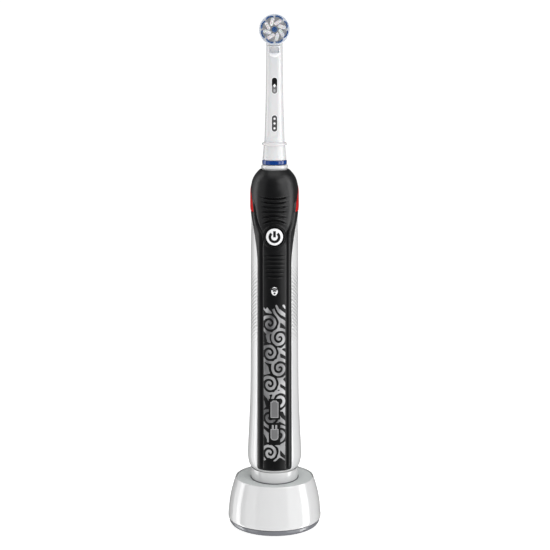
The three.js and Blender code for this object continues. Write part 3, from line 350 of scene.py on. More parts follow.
def silver_print_material():
    """Silver print whose tone drifts from light to darker grey along the handle; the light patches are
    partly painted highlights standing in for its reflections, partly tone that differs at random.
    """
    n = Nodes("silver_print")
    tone_drift_and_painted_highlights = n.noise(90.0, 2.0, n.stretched((1.6, 1.0, 0.5)))
    flakes = n.noise(16000.0, 1.0)
    # The span from dark to light grey is partly painted highlight and shade on the metallic print.
    n.feed("Base Color", n.ramp(tone_drift_and_painted_highlights, (0.36, (0.12, 0.12, 0.125)), (0.64, (0.55, 0.55, 0.56))))
    n.feed("Roughness", n.spread(flakes, 0.32, 0.5))
    n.bump(flakes, 0.004)
    n.fix(Metallic=0.35)
    return n.material


# Moulded finishes: colour, roughness, grain depth in mm, cloudiness of the tint, and what else differs.
FINISHES = {
    "white_gloss": (WHITE, 0.17, 0.004, 0.012, {"Coat_Weight": 0.5, "Coat_Roughness": 0.04}),
    "head_white": ((0.74, 0.742, 0.75), 0.22, 0.004, 0.012,
                   {"Subsurface_Weight": 0.08, "Subsurface_Scale": 0.002}),
    # The disc's emission is painted light that brightens its face in the shade between the tufts.
    "disc_white_painted_glow": ((0.80, 0.80, 0.80), 0.3, 0.004, 0.012,
                   {"Emission_Color": (1, 1, 1, 1), "Emission_Strength": 0.17}),
    "white_satin": ((0.80, 0.81, 0.83), 0.42, 0.01, 0.02, {}),
    "button_white": ((0.90, 0.90, 0.91), 0.38, 0.005, 0.01, {}),
    "black_soft_touch": ((0.004, 0.0041, 0.0047), 0.34, 0.010, 0.10, {"fine": 6500.0, "IOR": 1.34}),
    "black_gloss": ((0.008, 0.008, 0.009), 0.25, 0.004, 0.1, {}),
    "black_print": ((0.003, 0.003, 0.0035), 0.6, 0.003, 0.1, {"IOR": 1.3}),
    "dark_print": ((0.075, 0.075, 0.078), 0.45, 0.003, 0.06, {}),
    "grey_print": ((0.17, 0.17, 0.175), 0.45, 0.003, 0.06, {}),
    "pale_print": ((0.46, 0.46, 0.47), 0.45, 0.003, 0.06, {}),
    "plate_grey": ((0.60, 0.625, 0.62), 0.5, 0.03, 0.03, {"fine": 5000.0}),
    "base_grey": ((0.20, 0.205, 0.225), 0.2, 0.004, 0.05, {"Coat_Weight": 0.5}),
    "frame_grey": ((0.10, 0.105, 0.115), 0.5, 0.02, 0.06, {}),
    "seal_rubber": ((0.035, 0.035, 0.038), 0.62, 0.02, 0.1, {}),
    "ring_blue": ((0.0, 0.040, 0.23), 0.1, 0.003, 0.05, {}),
    "ferrite": ((0.045, 0.043, 0.042), 0.7, 0.05, 0.15, {"fine": 3000.0}),
    "cell_wrap": ((0.03, 0.22, 0.36), 0.3, 0.01, 0.05, {"Coat_Weight": 0.4}),
    "led_epoxy": ((0.85, 0.80, 0.50), 0.2, 0.004, 0.05, {}),
}


def make_materials():
    look = {
        "housing": housing_material(),
        "red_lens": lens_material(),
        "silver": silver_print_material(),
        "steel": metal("steel", (0.62, 0.62, 0.64), 0.22).material,
        "brass": metal("brass", (0.72, 0.50, 0.20), 0.28, lines=(40, 40, 1)).material,
        "copper": winding("copper_winding", (0.66, 0.29, 0.12)).material,
        "board": board_material("board_green").material,
    }
    for name, (colour, roughness, grain_mm, cloud, others) in FINISHES.items():
        look[name] = moulded(name, colour, roughness, grain_mm, cloud, **others).material
    for name, root, tip, glow in BRISTLES:
        look[name] = bristle_material(name, root, tip, glow)
    return look


# ------------------------------------------------------------------ mesh helpers

def quads(rows, columns, wrap_rows=False, wrap_columns=False, start=0):
    """Faces of a grid of points stored row by row."""
    faces = []
    for r in range(rows if wrap_rows else rows - 1):
        for c in range(columns if wrap_columns else columns - 1):
            below, above = start + r * columns, start + ((r + 1) % rows) * columns
            right = (c + 1) % columns
            faces.append((below + c, below + right, above + right, above + c))
    return faces


def make_piece(name, shape, body, material, replaces=(), flat=False):
    """Makes a mesh from a shape, which is (points in mm, faces), gives it its material, ties it to its body
    and hides the CAD nodes that it replaces.
    """
    points, faces = shape
    mesh = bpy.data.meshes.new(name)
    mesh.from_pydata([tuple(float(v) * MM for v in p) for p in points], [], faces)
    work = bmesh.new()
    work.from_mesh(mesh)
    bmesh.ops.remove_doubles(work, verts=work.verts, dist=0.0005 * MM)
    bmesh.ops.dissolve_degenerate(work, edges=work.edges, dist=0.0002 * MM)
    bmesh.ops.recalc_face_normals(work, faces=work.faces)
    work.to_mesh(mesh)
    work.free()
    piece = bpy.data.objects.new(name, mesh)
    bpy.context.collection.objects.link(piece)
    mesh.materials.append(material)
    if not flat:
        shade(piece)
    if body:
        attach(piece, body)
    if replaces:
        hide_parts(*replaces)
    return piece


def shade(piece, angle=math.radians(32)):
    """Smooth shading that stays crisp at edges sharper than the angle."""
    mesh = piece.data
    mesh.polygons.foreach_set("use_smooth", [True] * len(mesh.polygons))
    mesh.set_sharp_from_angle(angle=angle)


def slab(outer, inner):
    """A closed solid between two open grids of the same size."""
    rows, columns = outer.shape[:2]
    count = rows * columns
    faces = quads(rows, columns)
    faces += [tuple(reversed(face)) for face in quads(rows, columns, start=count)]
    edge = [(0, c) for c in range(columns)] + [(r, columns - 1) for r in range(1, rows)]
    edge += [(rows - 1, c) for c in range(columns - 2, -1, -1)] + [(r, 0) for r in range(rows - 2, 0, -1)]
    rim = [r * columns + c for r, c in edge]
    for a, b in zip(rim, rim[1:] + rim[:1]):
        faces.append((b, a, a + count, b + count))
    return np.concatenate([outer.reshape(-1, 3), inner.reshape(-1, 3)]), faces


def sleeve(outer, inner):
    """A closed tube wall between two grids whose columns run all the way round."""
    rows, columns = outer.shape[:2]
    ring = np.concatenate([outer, inner[::-1]])
    return ring.reshape(-1, 3), quads(2 * rows, columns, wrap_rows=True, wrap_columns=True)


def filleted(corners, steps=5):
    """A closed or open outline from (radius, height, fillet) corners, each rounded by its fillet."""
    path = []
    count = len(corners)
    for i, (x, z, fillet) in enumerate(corners):
        here = Vector((x, z))
        before = Vector(corners[i - 1][:2]) - here
        after = Vector(corners[(i + 1) % count][:2]) - here
        if fillet <= 0 or before.length < 1e-6 or after.length < 1e-6:
            path.append(here)
            continue
        angle = before.angle(after, math.pi)
        reach = min(fillet / math.tan(angle / 2), before.length * 0.49, after.length * 0.49)
        start, end = here + before.normalized() * reach, here + after.normalized() * reach
        for k in range(steps + 1):
            t = k / steps
            path.append(start * (1 - t) ** 2 + here * 2 * t * (1 - t) + end * t ** 2)
    return [(p.x, p.y) for p in path]


def lathe(outline, sides=96, ratio=1.0):
    """Turns an outline of (radius, height) about the vertical axis; ratio stretches it front to back."""
    angles = np.arange(sides) * 2 * math.pi / sides
    rows = []
    for radius, z in outline:
        x, y = radius * np.sin(angles), -radius * ratio * np.cos(angles)
        rows.append(np.stack([x, y, np.full(sides, z)], axis=1))
    points = np.array(rows)
    closed = min(radius for radius, _ in outline) > 1e-6
    return points.reshape(-1, 3), quads(len(rows), sides, wrap_rows=closed, wrap_columns=True)


def lathe_y(outline, centre_z, sides=72):
    """Turns an outline of (radius, y) about the line through centre_z that runs front to back."""
    points, faces = lathe(outline, sides)
    turned = np.stack([points[:, 0], points[:, 2], centre_z - points[:, 1]], axis=1)
    return turned, faces


def prism(outline, y_front, y_back):
    """A closed solid from an outline of (x, z) points across the front, between two depths."""
    count = len(outline)
    points = [(x, y_front, z) for x, z in outline] + [(x, y_back, z) for x, z in outline]
    faces = [tuple(range(count)), tuple(range(2 * count - 1, count - 1, -1))]
    for i in range(count):
        j = (i + 1) % count
        faces.append((i, i + count, j + count, j))
    return points, faces


def carve(piece, cuts):
    """Cuts straight prisms through the piece from the front; each is (outline, front y, back y)."""
    for cut in cuts:
        tool = make_piece("cutter", prism(*cut), None, piece.data.materials[0], flat=True)
        modifier = piece.modifiers.new("carve", "BOOLEAN")
        modifier.operation = "DIFFERENCE"
        modifier.solver = "MANIFOLD"
        modifier.object = tool
        bake_modifiers(piece)
        bpy.data.objects.remove(tool)
    shade(piece)


def bake_modifiers(piece):
    """Replaces the piece's mesh by what its modifiers make of it."""
    graph = bpy.context.evaluated_depsgraph_get()
    made = bpy.data.meshes.new_from_object(piece.evaluated_get(graph))
    old = piece.data
    piece.modifiers.clear()
    piece.data = made
    bpy.data.meshes.remove(old)


def ringed(rings):
    """A closed solid through rings of points, from the first ring to the last."""
    count = len(rings[0])
    faces = quads(len(rings), count, wrap_columns=True)
    faces += [tuple(range(count)), tuple(range((len(rings) - 1) * count, len(rings) * count))]
    return np.array(rings).reshape(-1, 3), faces


def arc(radius, centre_z, start, end, steps):
    """Points (x, z) along part of a circle; its angles run from +X upwards."""
    angles = np.linspace(start, end, steps + 1)
    return [(radius * math.cos(angle), centre_z + radius * math.sin(angle)) for angle in angles]


def circle(radius, centre_z, sides=64):
    return arc(radius, centre_z, 0, 2 * math.pi, sides)[:-1]


def monotone(points):
    """A smooth curve through (place, value) points that never overshoots them."""
    xs, ys = np.array([p[0] for p in points], float), np.array([p[1] for p in points], float)
    steps = np.diff(ys) / np.diff(xs)
    slopes = np.zeros(len(xs))
    for i in range(1, len(xs) - 1):
        if steps[i - 1] * steps[i] > 0:
            slopes[i] = 2 * steps[i - 1] * steps[i] / (steps[i - 1] + steps[i])
    slopes[0], slopes[-1] = steps[0], steps[-1]

    def value(x):
        x = min(max(x, xs[0]), xs[-1])
        i = min(max(int(np.searchsorted(xs, x)) - 1, 0), len(xs) - 2)
        h = xs[i + 1] - xs[i]
        t = (x - xs[i]) / h
        return ((1 + 2 * t) * (1 - t) ** 2 * ys[i] + t * (1 - t) ** 2 * h * slopes[i]
                + t * t * (3 - 2 * t) * ys[i + 1] - t * t * (1 - t) * h * slopes[i + 1])

    return value


def smoothstep(low, high, x):
    t = min(max((x - low) / (high - low), 0.0), 1.0)
    return t * t * (3 - 2 * t)


# ------------------------------------------------------------------ the handle's surface

HOUSING_LOW, HOUSING_HIGH = box_mm("handle_housing")
GRIP_LOW = box_mm("front_grip")[0]
REAR_LOW = box_mm("rear_grip")[0]
LENS_LOW, LENS_HIGH = box_mm("light_ring")
BUTTON_LOW, BUTTON_HIGH = box_mm("power_button")
BUTTON_Z = (BUTTON_LOW.z + BUTTON_HIGH.z) / 2

# Half widths of the handle (height, half width), as in the CAD model.
half_width = monotone([
    (27.0, 11.05), (30.2, 11.1), (31.9, 12.1), (33.6, 13.3), (38.3, 14.1), (44.0, 13.9), (51.0, 13.5),
    (75.0, 12.6), (110.0, 12.35), (150.0, 12.15), (162.5, 11.85), (166.0, 12.05), (170.0, 12.45),
    (177.0, 12.4), (182.0, 11.65), (184.0, 11.0), (185.8, 10.0), (187.6, 8.5), (188.6, 7.5), (188.9, 7.1),
])
DEPTH_RATIO = 1.12             # depth over width, where the section is oval
OVAL_UP_TO, ROUND_FROM = 150, 186
STRIP_HALF_WIDTH = 9.0
STRIP_NECK_HALF_WIDTH = 8.65
STRIP_SPREADS_FROM, STRIP_FULL_AT = 141.0, 164.5
GRIP_THICKNESS = 1.0
SEAM = 0.06                    # half the visible seam between two parts of the skin
SKIN_TOP = 188.55
SKIN_ROUNDS_FROM = 187.6


def half_depth(z):
    return half_width(z) * (DEPTH_RATIO + (1 - DEPTH_RATIO) * smoothstep(OVAL_UP_TO, ROUND_FROM, z))


def on_handle(turn, z, lift=0.0):
    """A point on the handle's skin: turn runs from the front (0) round by +X; lift moves it outwards."""
    width, depth = half_width(z), half_depth(z)
    slope = (half_width(z + 0.2) - half_width(z - 0.2)) / 0.4
    out = Vector((math.sin(turn) / width, -math.cos(turn) / depth, 0)).normalized()
    out = (out + Vector((0, 0, -slope))).normalized()
    return Vector((width * math.sin(turn), -depth * math.cos(turn), z)) + out * lift


def on_front(x, z, lift=0.0):
    return on_handle(math.asin(max(-1.0, min(1.0, x / half_width(z)))), z, lift)


def corner_half_width(full, bottom, corner, z):
    """Half width of a strip whose lower corners are rounded."""
    if z >= bottom + corner:
        return full
    return full - corner + math.sqrt(max(corner ** 2 - (bottom + corner - z) ** 2, 0.0))


def strip_half_width(z, bottom, corner):
    if z > STRIP_SPREADS_FROM:
        rise = min((z - STRIP_SPREADS_FROM) / (STRIP_FULL_AT - STRIP_SPREADS_FROM), 1.0)
        return STRIP_NECK_HALF_WIDTH + (half_width(STRIP_FULL_AT) - STRIP_NECK_HALF_WIDTH) * rise ** 1.6
    sunk = (STRIP_SPREADS_FROM - z) / (STRIP_SPREADS_FROM - bottom)
    full = STRIP_NECK_HALF_WIDTH + (STRIP_HALF_WIDTH - STRIP_NECK_HALF_WIDTH) * sunk
    return corner_half_width(full, bottom, corner, z)


FRONT_BOTTOM, FRONT_CORNER = GRIP_LOW.z, 1.6
REAR_BOTTOM, REAR_CORNER = REAR_LOW.z, 4.0


def front_turn(z):
    """How far round the front strip reaches at this height."""
    return math.asin(min(1.0, strip_half_width(z, FRONT_BOTTOM, FRONT_CORNER) / half_width(z)))


def rear_turn(z):
    """How far round from the back the rear strip reaches at this height."""
    return math.asin(min(1.0, strip_half_width(z, REAR_BOTTOM, REAR_CORNER) / half_width(z)))


def lens_turn(z):
    """How far round from the front the light ring's edge stands: a slanting line in the side view."""
    t = min(max((z - LENS_LOW.z) / (LENS_HIGH.z - LENS_LOW.z), 0.0), 1.0)
    forward = -LENS_LOW.y * (1 - t ** 2.2)
    return math.acos(forward / half_depth(z))


def spaced(low, high, step):
    return list(np.linspace(low, high, max(2, int(round((high - low) / step)) + 1)))


def banded(*bands):
    """Heights band after band, each (from, to, step); two bands share the height where they meet."""
    heights = []
    for low, high, step in bands:
        heights += spaced(low, high, step)[:-1]
    return heights + [bands[-1][1]]


def eased(count, edge=0.18):
    """Places from -1 to 1, closer together at both ends."""
    even = np.linspace(-1, 1, count)
    return (1 - edge) * even + edge * np.sin(even * math.pi / 2)


def rounding(distance, radius):
    """How far a rounded edge falls below the skin at this distance in from the edge."""
    if distance >= radius:
        return 0.0
    return radius - math.sqrt(max(radius ** 2 - (radius - distance) ** 2, 0.0))


CORE_SHARE = 0.72              # the share of a patch's columns that keep to its core


def patch_turn(place, reach, core):
    """Where a column stands: the inner ones spread over the core, the outer ones from there to the edge."""
    if abs(place) <= CORE_SHARE:
        return core * place / CORE_SHARE
    return math.copysign(core + (reach - core) * (abs(place) - CORE_SHARE) / (1 - CORE_SHARE), place)


def skin_patch(heights, reach_at, columns, relief, centre=0.0, core_at=None, ends=(True, True), edge=0.28):
    """A closed piece of skin: reach_at gives how far each row reaches to each side of the centre turn."""
    outer, inner = [], []
    for z in heights:
        reach = reach_at(z)
        core = core_at(z) if core_at else reach * CORE_SHARE
        top, bottom = [], []
        for place in eased(columns):
            turn = patch_turn(place, reach, core)
            drop = rounding((reach - abs(turn)) * half_width(z), edge)
            if ends[0]:
                drop = max(drop, rounding(z - heights[0], edge))
            if ends[1]:
                drop = max(drop, rounding(heights[-1] - z, edge))
            x = half_width(z) * math.sin(centre + turn)
            top.append(on_handle(centre + turn, z, relief(x, z) - drop))
            bottom.append(on_handle(centre + turn, z, -GRIP_THICKNESS))
        outer.append(top)
        inner.append(bottom)
    return slab(np.array(outer), np.array(inner))


# ------------------------------------------------------------------ grips

GROOVE_X = 6.2                 # the grooves that bound the middle panel
GROOVE_HALF_WIDTH, GROOVE_DEPTH, CREASE_DEPTH = 0.42, 0.34, 0.5
RAIL_WIDTH, RAIL_HEIGHT = 2.0, 0.34
SHOULDER_HOLLOW = {"height": 168.0, "reach": 7.0, "depth": 0.45}
BUTTON_HOLLOW = {"radius": 6.6, "reach": 1.1, "depth": 0.25}
UPPER_RIBS = {"top": 174.4, "bottom": 163.6, "count": 6, "half_width": 7.9, "depth": 0.75, "sharpness": 2.0,
              "flat_share": 0.55, "bend_top": 0.022, "bend_bottom": -0.055}
LOWER_RIBS = {"top": 145.7, "bottom": 134.9, "count": 6, "half_width": 6.2, "depth": 0.55, "sharpness": 1.5,
              "flat_share": 0.35, "bend_top": -0.004, "bend_bottom": 0.0}
REAR_RIBS = {"top": 156.0, "bottom": 105.0, "pitch": 3.0, "depth": 0.45}
# Rows of the front grip where it needs more of them: (from, to, step).
FRONT_BANDS = (
    (130, 133, 0.4), (133, 148, 0.14), (148, 160, 0.25), (160, 177, 0.12), (177, SKIN_ROUNDS_FROM, 0.25),
)
REAR_RIBS_FROM = 104
SKIN_FULL_FROM = STRIP_FULL_AT - 0.4           # mm; above this the front and back skins meet at the sides
GRIP_CUT = (-30, -5)           # mm, the depths (y) between which the front grip's openings are cut


def rib_relief(x, z, ribs):
    """Grooves one above the other; the bend of each changes from the top one to the bottom one."""
    if abs(x) > ribs["half_width"]:
        return 0.0
    pitch = (ribs["top"] - ribs["bottom"]) / (ribs["count"] - 1)
    relief = 0.0
    for i in range(ribs["count"]):
        share = i / (ribs["count"] - 1)
        bend = ribs["bend_top"] + (ribs["bend_bottom"] - ribs["bend_top"]) * share ** 2
        reach = ribs["half_width"] * (1 - 0.18 * share)
        fade = 1 - smoothstep(ribs["flat_share"], 1.0, abs(x) / reach)
        away = abs(z - (ribs["top"] - i * pitch + bend * x * x)) / (pitch * 0.5)
        if away < 1:
            relief -= ribs["depth"] * fade * (math.cos(away * math.pi) * 0.5 + 0.5) ** ribs["sharpness"]
            relief += ribs["depth"] * 0.3 * fade * math.sin(away * math.pi) ** 2
    return relief


# The panel groove runs straight up and leans outwards beside the button: (height, distance from the middle).
groove_x = monotone([
    (30, GROOVE_X), (153, GROOVE_X), (156.6, 6.45), (158.6, 7.2), (161.8, 8.6), (165, 9.55), (170.7, 10.4),
    (190, 11.5),
])


def groove_relief(x, z):
    """A narrow groove that deepens into a crease on the shoulder."""
    away = (abs(x) - groove_x(z)) / GROOVE_HALF_WIDTH
    if abs(away) > 3:
        return 0.0
    ends = (1 - smoothstep(169, 174.5, z)) * smoothstep(GRIP_LOW.z + 0.8, GRIP_LOW.z + 1.6, z)
    depth = GROOVE_DEPTH + CREASE_DEPTH * smoothstep(154, 158, z)
    return -depth * ends * math.exp(-away * away)


def rail_relief(x, z):
    """The raised bead between the panel groove and the strip's edge."""
    across = (abs(x) - groove_x(z) - 0.45) / RAIL_WIDTH
    if across <= 0 or across >= 1:
        return 0.0
    ends = (1 - smoothstep(160, 170, z)) * smoothstep(GRIP_LOW.z + 0.6, GRIP_LOW.z + 2.4, z)
    return RAIL_HEIGHT * ends * math.sin(across * math.pi)


def shoulder_relief(x, z):
    """The ribbed field sinks a little below the shoulder."""
    away = (z - SHOULDER_HOLLOW["height"]) / SHOULDER_HOLLOW["reach"]
    return -SHOULDER_HOLLOW["depth"] * math.exp(-away ** 2) * (1 - smoothstep(3.5, 9.5, abs(x)))


def front_relief(x, z):
    relief = groove_relief(x, z) + rail_relief(x, z) + shoulder_relief(x, z)
    relief += rib_relief(x, z, UPPER_RIBS) + rib_relief(x, z, LOWER_RIBS)
    away = (math.hypot(x, z - BUTTON_Z) - BUTTON_HOLLOW["radius"]) / BUTTON_HOLLOW["reach"]
    return relief - BUTTON_HOLLOW["depth"] * math.exp(-away ** 2)


def side_turn(z):
    """The turn of a skin that reaches to the seam at the side of the handle."""
    return math.pi / 2 - SEAM / half_width(z)


def front_grip_turn(z):
    if LENS_LOW.z - 0.2 < z < LENS_HIGH.z + 0.25:
        return lens_turn(z) - SEAM / half_width(z)
    if z >= SKIN_FULL_FROM:
        return side_turn(z)
    return front_turn(z) - SEAM / half_width(z)


def front_core_turn(z):
    """The ribbed middle, where the columns run straight up past the light ring's ends."""
    return min(0.8 * front_turn(min(z, STRIP_FULL_AT)), math.radians(56))


def make_front_grip(look):
    foot = GRIP_LOW.z + 2
    heights = banded((GRIP_LOW.z, foot, 0.2), (foot, FRONT_BANDS[0][0], 0.8), *FRONT_BANDS,
                     (SKIN_ROUNDS_FROM, SKIN_TOP, 0.12))
    shape = skin_patch(heights, front_grip_turn, 150, front_relief, core_at=front_core_turn,
                       ends=(True, False), edge=0.12)
    material = look["black_soft_touch"]
    grip = make_piece("front_grip_skin", shape, "handle", material, ("front_grip",))
    carve(grip, [(circle(SURROUND_HOLE, BUTTON_Z), *GRIP_CUT), (status_outline(0.12), *GRIP_CUT)])


def rear_relief(x, z):
    """Short ribs for the fingers, one above the other up the back."""
    bottom = REAR_RIBS["bottom"]
    if not bottom < z < REAR_RIBS["top"]:
        return 0.0
    phase = ((z - bottom) / REAR_RIBS["pitch"]) % 1.0
    fade = (1 - smoothstep(5.0, 7.2, abs(x))) * smoothstep(bottom, bottom + 6, z)
    return -REAR_RIBS["depth"] * fade * math.sin(phase * math.pi) ** 4


def rear_grip_turn(z):
    if z >= SKIN_FULL_FROM:
        return side_turn(z)
    return rear_turn(z) - SEAM / half_width(z)


def make_rear_grip(look):
    corner = REAR_LOW.z + 4.5
    heights = banded((REAR_LOW.z, corner, 0.3), (corner, REAR_RIBS_FROM, 1.0),
                     (REAR_RIBS_FROM, LENS_LOW.z - SEAM, 0.3))
    shape = skin_patch(heights, rear_grip_turn, 90, rear_relief, centre=math.pi)
    make_piece("rear_grip_skin", shape, "handle", look["black_soft_touch"], ("rear_grip",))


def make_shoulder(look):
    heights = banded((LENS_HIGH.z + 0.2, SKIN_ROUNDS_FROM, 0.3), (SKIN_ROUNDS_FROM, SKIN_TOP, 0.12))
    shape = skin_patch(heights, side_turn, 72, lambda *_: 0.0,
                       centre=math.pi, ends=(True, False), edge=0.12)
    material = look["black_soft_touch"]
    make_piece("shoulder_skin", shape, "handle", material, ("shoulder_cap",))


def make_light_ring(look):
    heights = spaced(LENS_LOW.z + SEAM, LENS_HIGH.z - SEAM, 0.3)
    shape = skin_patch(heights, lambda z: math.pi - lens_turn(z) - SEAM / half_width(z), 110,
                       lambda *_: 0.05, centre=math.pi)
    make_piece("light_ring_lens", shape, "handle", look["red_lens"], ("light_ring",))


# ------------------------------------------------------------------ housing

HOUSING_RECESS = 1.15          # mm that the housing is sunk under the grips
EDGE_ROUNDING = 0.22
SUNK_ALL_ROUND_FROM = STRIP_FULL_AT - 0.6
EDGE_STEP = 0.02               # mm between the two rows that make a sharp step
FOOT_WALL, HOUSING_WALL = 1.2, 2.1
FOOT_WALL_UP_TO = 31
HOUSING_FINE_FROM = 140


def housing_section(z):
    """One closed ring of the housing: flanks at the skin, strips sunk under the grips."""
    full = z >= SUNK_ALL_ROUND_FROM
    front = front_turn(min(max(z, FRONT_BOTTOM), SUNK_ALL_ROUND_FROM))
    rear = math.pi - rear_turn(min(max(z, REAR_BOTTOM), SUNK_ALL_ROUND_FROM))
    sunk_front = HOUSING_RECESS if FRONT_BOTTOM <= z or full else 0.0
    sunk_rear = HOUSING_RECESS if REAR_BOTTOM <= z or full else 0.0
    side = []
    for t in np.linspace(0, 1, 16)[:-1]:
        side.append((front * t, sunk_front))
    side.append((front, sunk_front))
    width = (rear - front) * half_width(z)
    radius = min(EDGE_ROUNDING, width * 0.4)
    for t in (np.sin(np.linspace(-0.5, 0.5, 33) * math.pi) + 1) / 2:
        turn = front + (rear - front) * t
        away_front, away_rear = (turn - front) * half_width(z), (rear - turn) * half_width(z)
        drop = HOUSING_RECESS if full else max(rounding(away_front, radius) if sunk_front else 0.0,
                                               rounding(away_rear, radius) if sunk_rear else 0.0)
        side.append((turn, drop))
    side.append((rear, sunk_rear))
    for t in np.linspace(0, 1, 14)[1:]:
        side.append((rear + (math.pi - rear) * t, sunk_rear))
    mirrored = [(2 * math.pi - turn, drop) for turn, drop in side[-2:0:-1]]
    return side + mirrored


def make_housing(look):
    low, high = HOUSING_LOW.z, HOUSING_HIGH.z
    heights = banded((low, low + 0.4, 0.2), (low + 0.4, FRONT_BOTTOM - EDGE_STEP, 0.35))
    corner = FRONT_BOTTOM + 2
    heights += banded((FRONT_BOTTOM, corner, 0.2), (corner, REAR_BOTTOM - EDGE_STEP, 0.9))
    heights += banded((REAR_BOTTOM, REAR_BOTTOM + 4.2, 0.3), (REAR_BOTTOM + 4.2, HOUSING_FINE_FROM, 1.6),
                      (HOUSING_FINE_FROM, SUNK_ALL_ROUND_FROM - EDGE_STEP, 0.5))
    heights += spaced(SUNK_ALL_ROUND_FROM, high, 1.0)
    outer, inner = [], []
    for z in heights:
        foot = rounding(z - low, 0.35)
        ring = housing_section(z)
        outer.append([on_handle(turn, z, -drop - foot) for turn, drop in ring])
        wall = FOOT_WALL if z < FOOT_WALL_UP_TO else HOUSING_WALL
        inner.append([on_handle(turn, z, -wall) for turn, _ in ring])
    shape = sleeve(np.array(outer), np.array(inner))
    make_piece("housing_shell", shape, "handle", look["housing"], ("handle_housing",))


# ------------------------------------------------------------------ button, windows and print

def before_front(x, z, lift):
    """A point in front of the handle's skin; lift runs straight forward, the way the button moves."""
    return on_front(x, z) + Vector((0, -lift, 0))


def polar_patch(rings, centre_z, back, sides=72):
    """A round piece that follows the handle's front: rings of (radius, lift) from the middle outwards."""
    points = [before_front(0, centre_z, rings[0][1])]
    faces = []
    loop = [ring for ring in rings if ring[0] > 0]
    rim = loop[-1][0]
    loop += [(rim * part, back) for part in (1, 0.75, 0.5, 0.25)]
    for radius, lift in loop:
        for i in range(sides):
            angle = 2 * math.pi * i / sides
            points.append(before_front(radius * math.cos(angle), centre_z + radius * math.sin(angle), lift))
    for i in range(sides):
        faces.append((0, 1 + i, 1 + (i + 1) % sides))
    faces += quads(len(loop), sides, wrap_columns=True, start=1)
    last = 1 + (len(loop) - 1) * sides
    points.append(before_front(0, centre_z, back))
    faces += [(last + sides, last + (i + 1) % sides, last + i) for i in range(sides)]
    return points, faces


def ribbon(path, width, lift=0.02, thickness=0.05, surface=on_front):
    """A flat band along a path of (x, z) points on the front, as a thin closed solid."""
    path = [Vector(p) for p in path]
    left, right = [], []
    for i, here in enumerate(path):
        ahead = path[min(i + 1, len(path) - 1)] - path[max(i - 1, 0)]
        across = Vector((-ahead.y, ahead.x)).normalized() * width / 2
        left.append(here + across)
        right.append(here - across)
    outer = np.array([[surface(*a, lift), surface(*b, lift)] for a, b in zip(left, right)])
    under = lift - thickness
    inner = np.array([[surface(*a, under), surface(*b, under)] for a, b in zip(left, right)])
    return slab(outer, inner)


def patch(outline, lift=0.02, thickness=0.05, surface=on_front):
    """A filled flat shape on the front from its outline, as a thin closed solid."""
    count = len(outline)
    points = [surface(x, z, lift) for x, z in outline]
    points += [surface(x, z, lift - thickness) for x, z in outline]
    faces = [tuple(range(count)), tuple(range(2 * count - 1, count - 1, -1))]
    faces += [(i, i + count, (i + 1) % count + count, (i + 1) % count) for i in range(count)]
    return points, faces


def joined(parts):
    """Puts several (points, faces) together."""
    points, faces = [], []
    for more, its_faces in parts:
        start = len(points)
        points += [tuple(p) for p in more]
        faces += [tuple(start + i for i in face) for face in its_faces]
    return points, faces


SURROUND_FLOOR = -1.08         # the lift of the floor that the cap sinks towards
SURROUND_HOLE = 6.15           # mm, the radius of the grip's opening for the button's ring
FLOOR_RADII = (0, 1.2, 2.4, 3.6, 4.75)
# The ring around the button, from its inner wall out to its edge, and the cap's edge: (radius, lift).
SURROUND_RIM = (
    (4.97, -0.35), (5.08, -0.12), (5.22, -0.02), (5.38, 0.0), (5.52, -0.06), (5.6, -0.27),
    (5.67, -0.3), (5.74, -0.2), (5.82, 0.04), (5.93, 0.08), (6.03, 0.0), (6.1, -0.15),
)
CAP_RIM = ((3.85, 0.18), (4.1, 0.08), (4.22, -0.06), (4.27, -0.14))
CAP_RADII = (0, 0.6, 1.2, 1.8, 2.4, 3.0, 3.4)
CAP_BACK = -0.23
CROWN_HEIGHT, CROWN_FALL = 0.32, 0.0045
POWER_RADIUS, POWER_STROKE, POWER_GAP = 2.35, 1.35, math.radians(40)
POWER_BAR = 3.1                # mm, the length of the symbol's bar


def crown(radius):
    """How far the button's crowned face stands out at this distance from its middle."""
    return CROWN_HEIGHT - CROWN_FALL * radius ** 2


def on_cap(x, z, lift):
    """A point on the button's crowned face."""
    return before_front(x, z, lift + crown(math.hypot(x, z - BUTTON_Z)))


def make_button(look):
    surround = [(radius, SURROUND_FLOOR) for radius in FLOOR_RADII]
    surround += [(4.85, SURROUND_FLOOR + 0.1), *SURROUND_RIM]
    shape = polar_patch(surround, BUTTON_Z, SURROUND_FLOOR - 0.04)
    material = look["black_soft_touch"]
    make_piece("button_surround", shape, "handle", material, ("button_bezel",))

    cap = [(radius, crown(radius)) for radius in CAP_RADII] + list(CAP_RIM)
    shape = polar_patch(cap, BUTTON_Z, CAP_BACK)
    make_piece("button_cap", shape, "button", look["button_white"], ("power_button",))

    ring = arc(POWER_RADIUS, BUTTON_Z - 0.05, math.pi / 2 + POWER_GAP, 2.5 * math.pi - POWER_GAP, 48)
    bar = [(0, BUTTON_Z - 0.1 + POWER_BAR * i / 8) for i in range(9)]
    strokes = [ribbon(path, POWER_STROKE, lift=0.04, surface=on_cap) for path in (ring, bar)]
    make_piece("power_symbol", joined(strokes), "button", look["black_print"])


STATUS_LOW, STATUS_HIGH = box_mm("status_window")
BATTERY_LOW, BATTERY_HIGH = box_mm("battery_window")
CHARGE_LOW, CHARGE_HIGH = box_mm("charge_window")


def status_outline(margin):
    middle = (STATUS_LOW.z + STATUS_HIGH.z) / 2
    half_x, half_z = STATUS_HIGH.x + margin, (STATUS_HIGH.z - STATUS_LOW.z) / 2 + 0.3 + margin
    angles = np.arange(48) * 2 * math.pi / 48
    return [(half_x * math.cos(angle), middle + half_z * math.sin(angle)) for angle in angles]


def window_piece(outline_at, lifts):
    """A window that follows the front: shrinking outlines, each at its lift."""
    return ringed([[on_front(x, z, lift) for x, z in outline_at(margin)] for margin, lift in lifts])


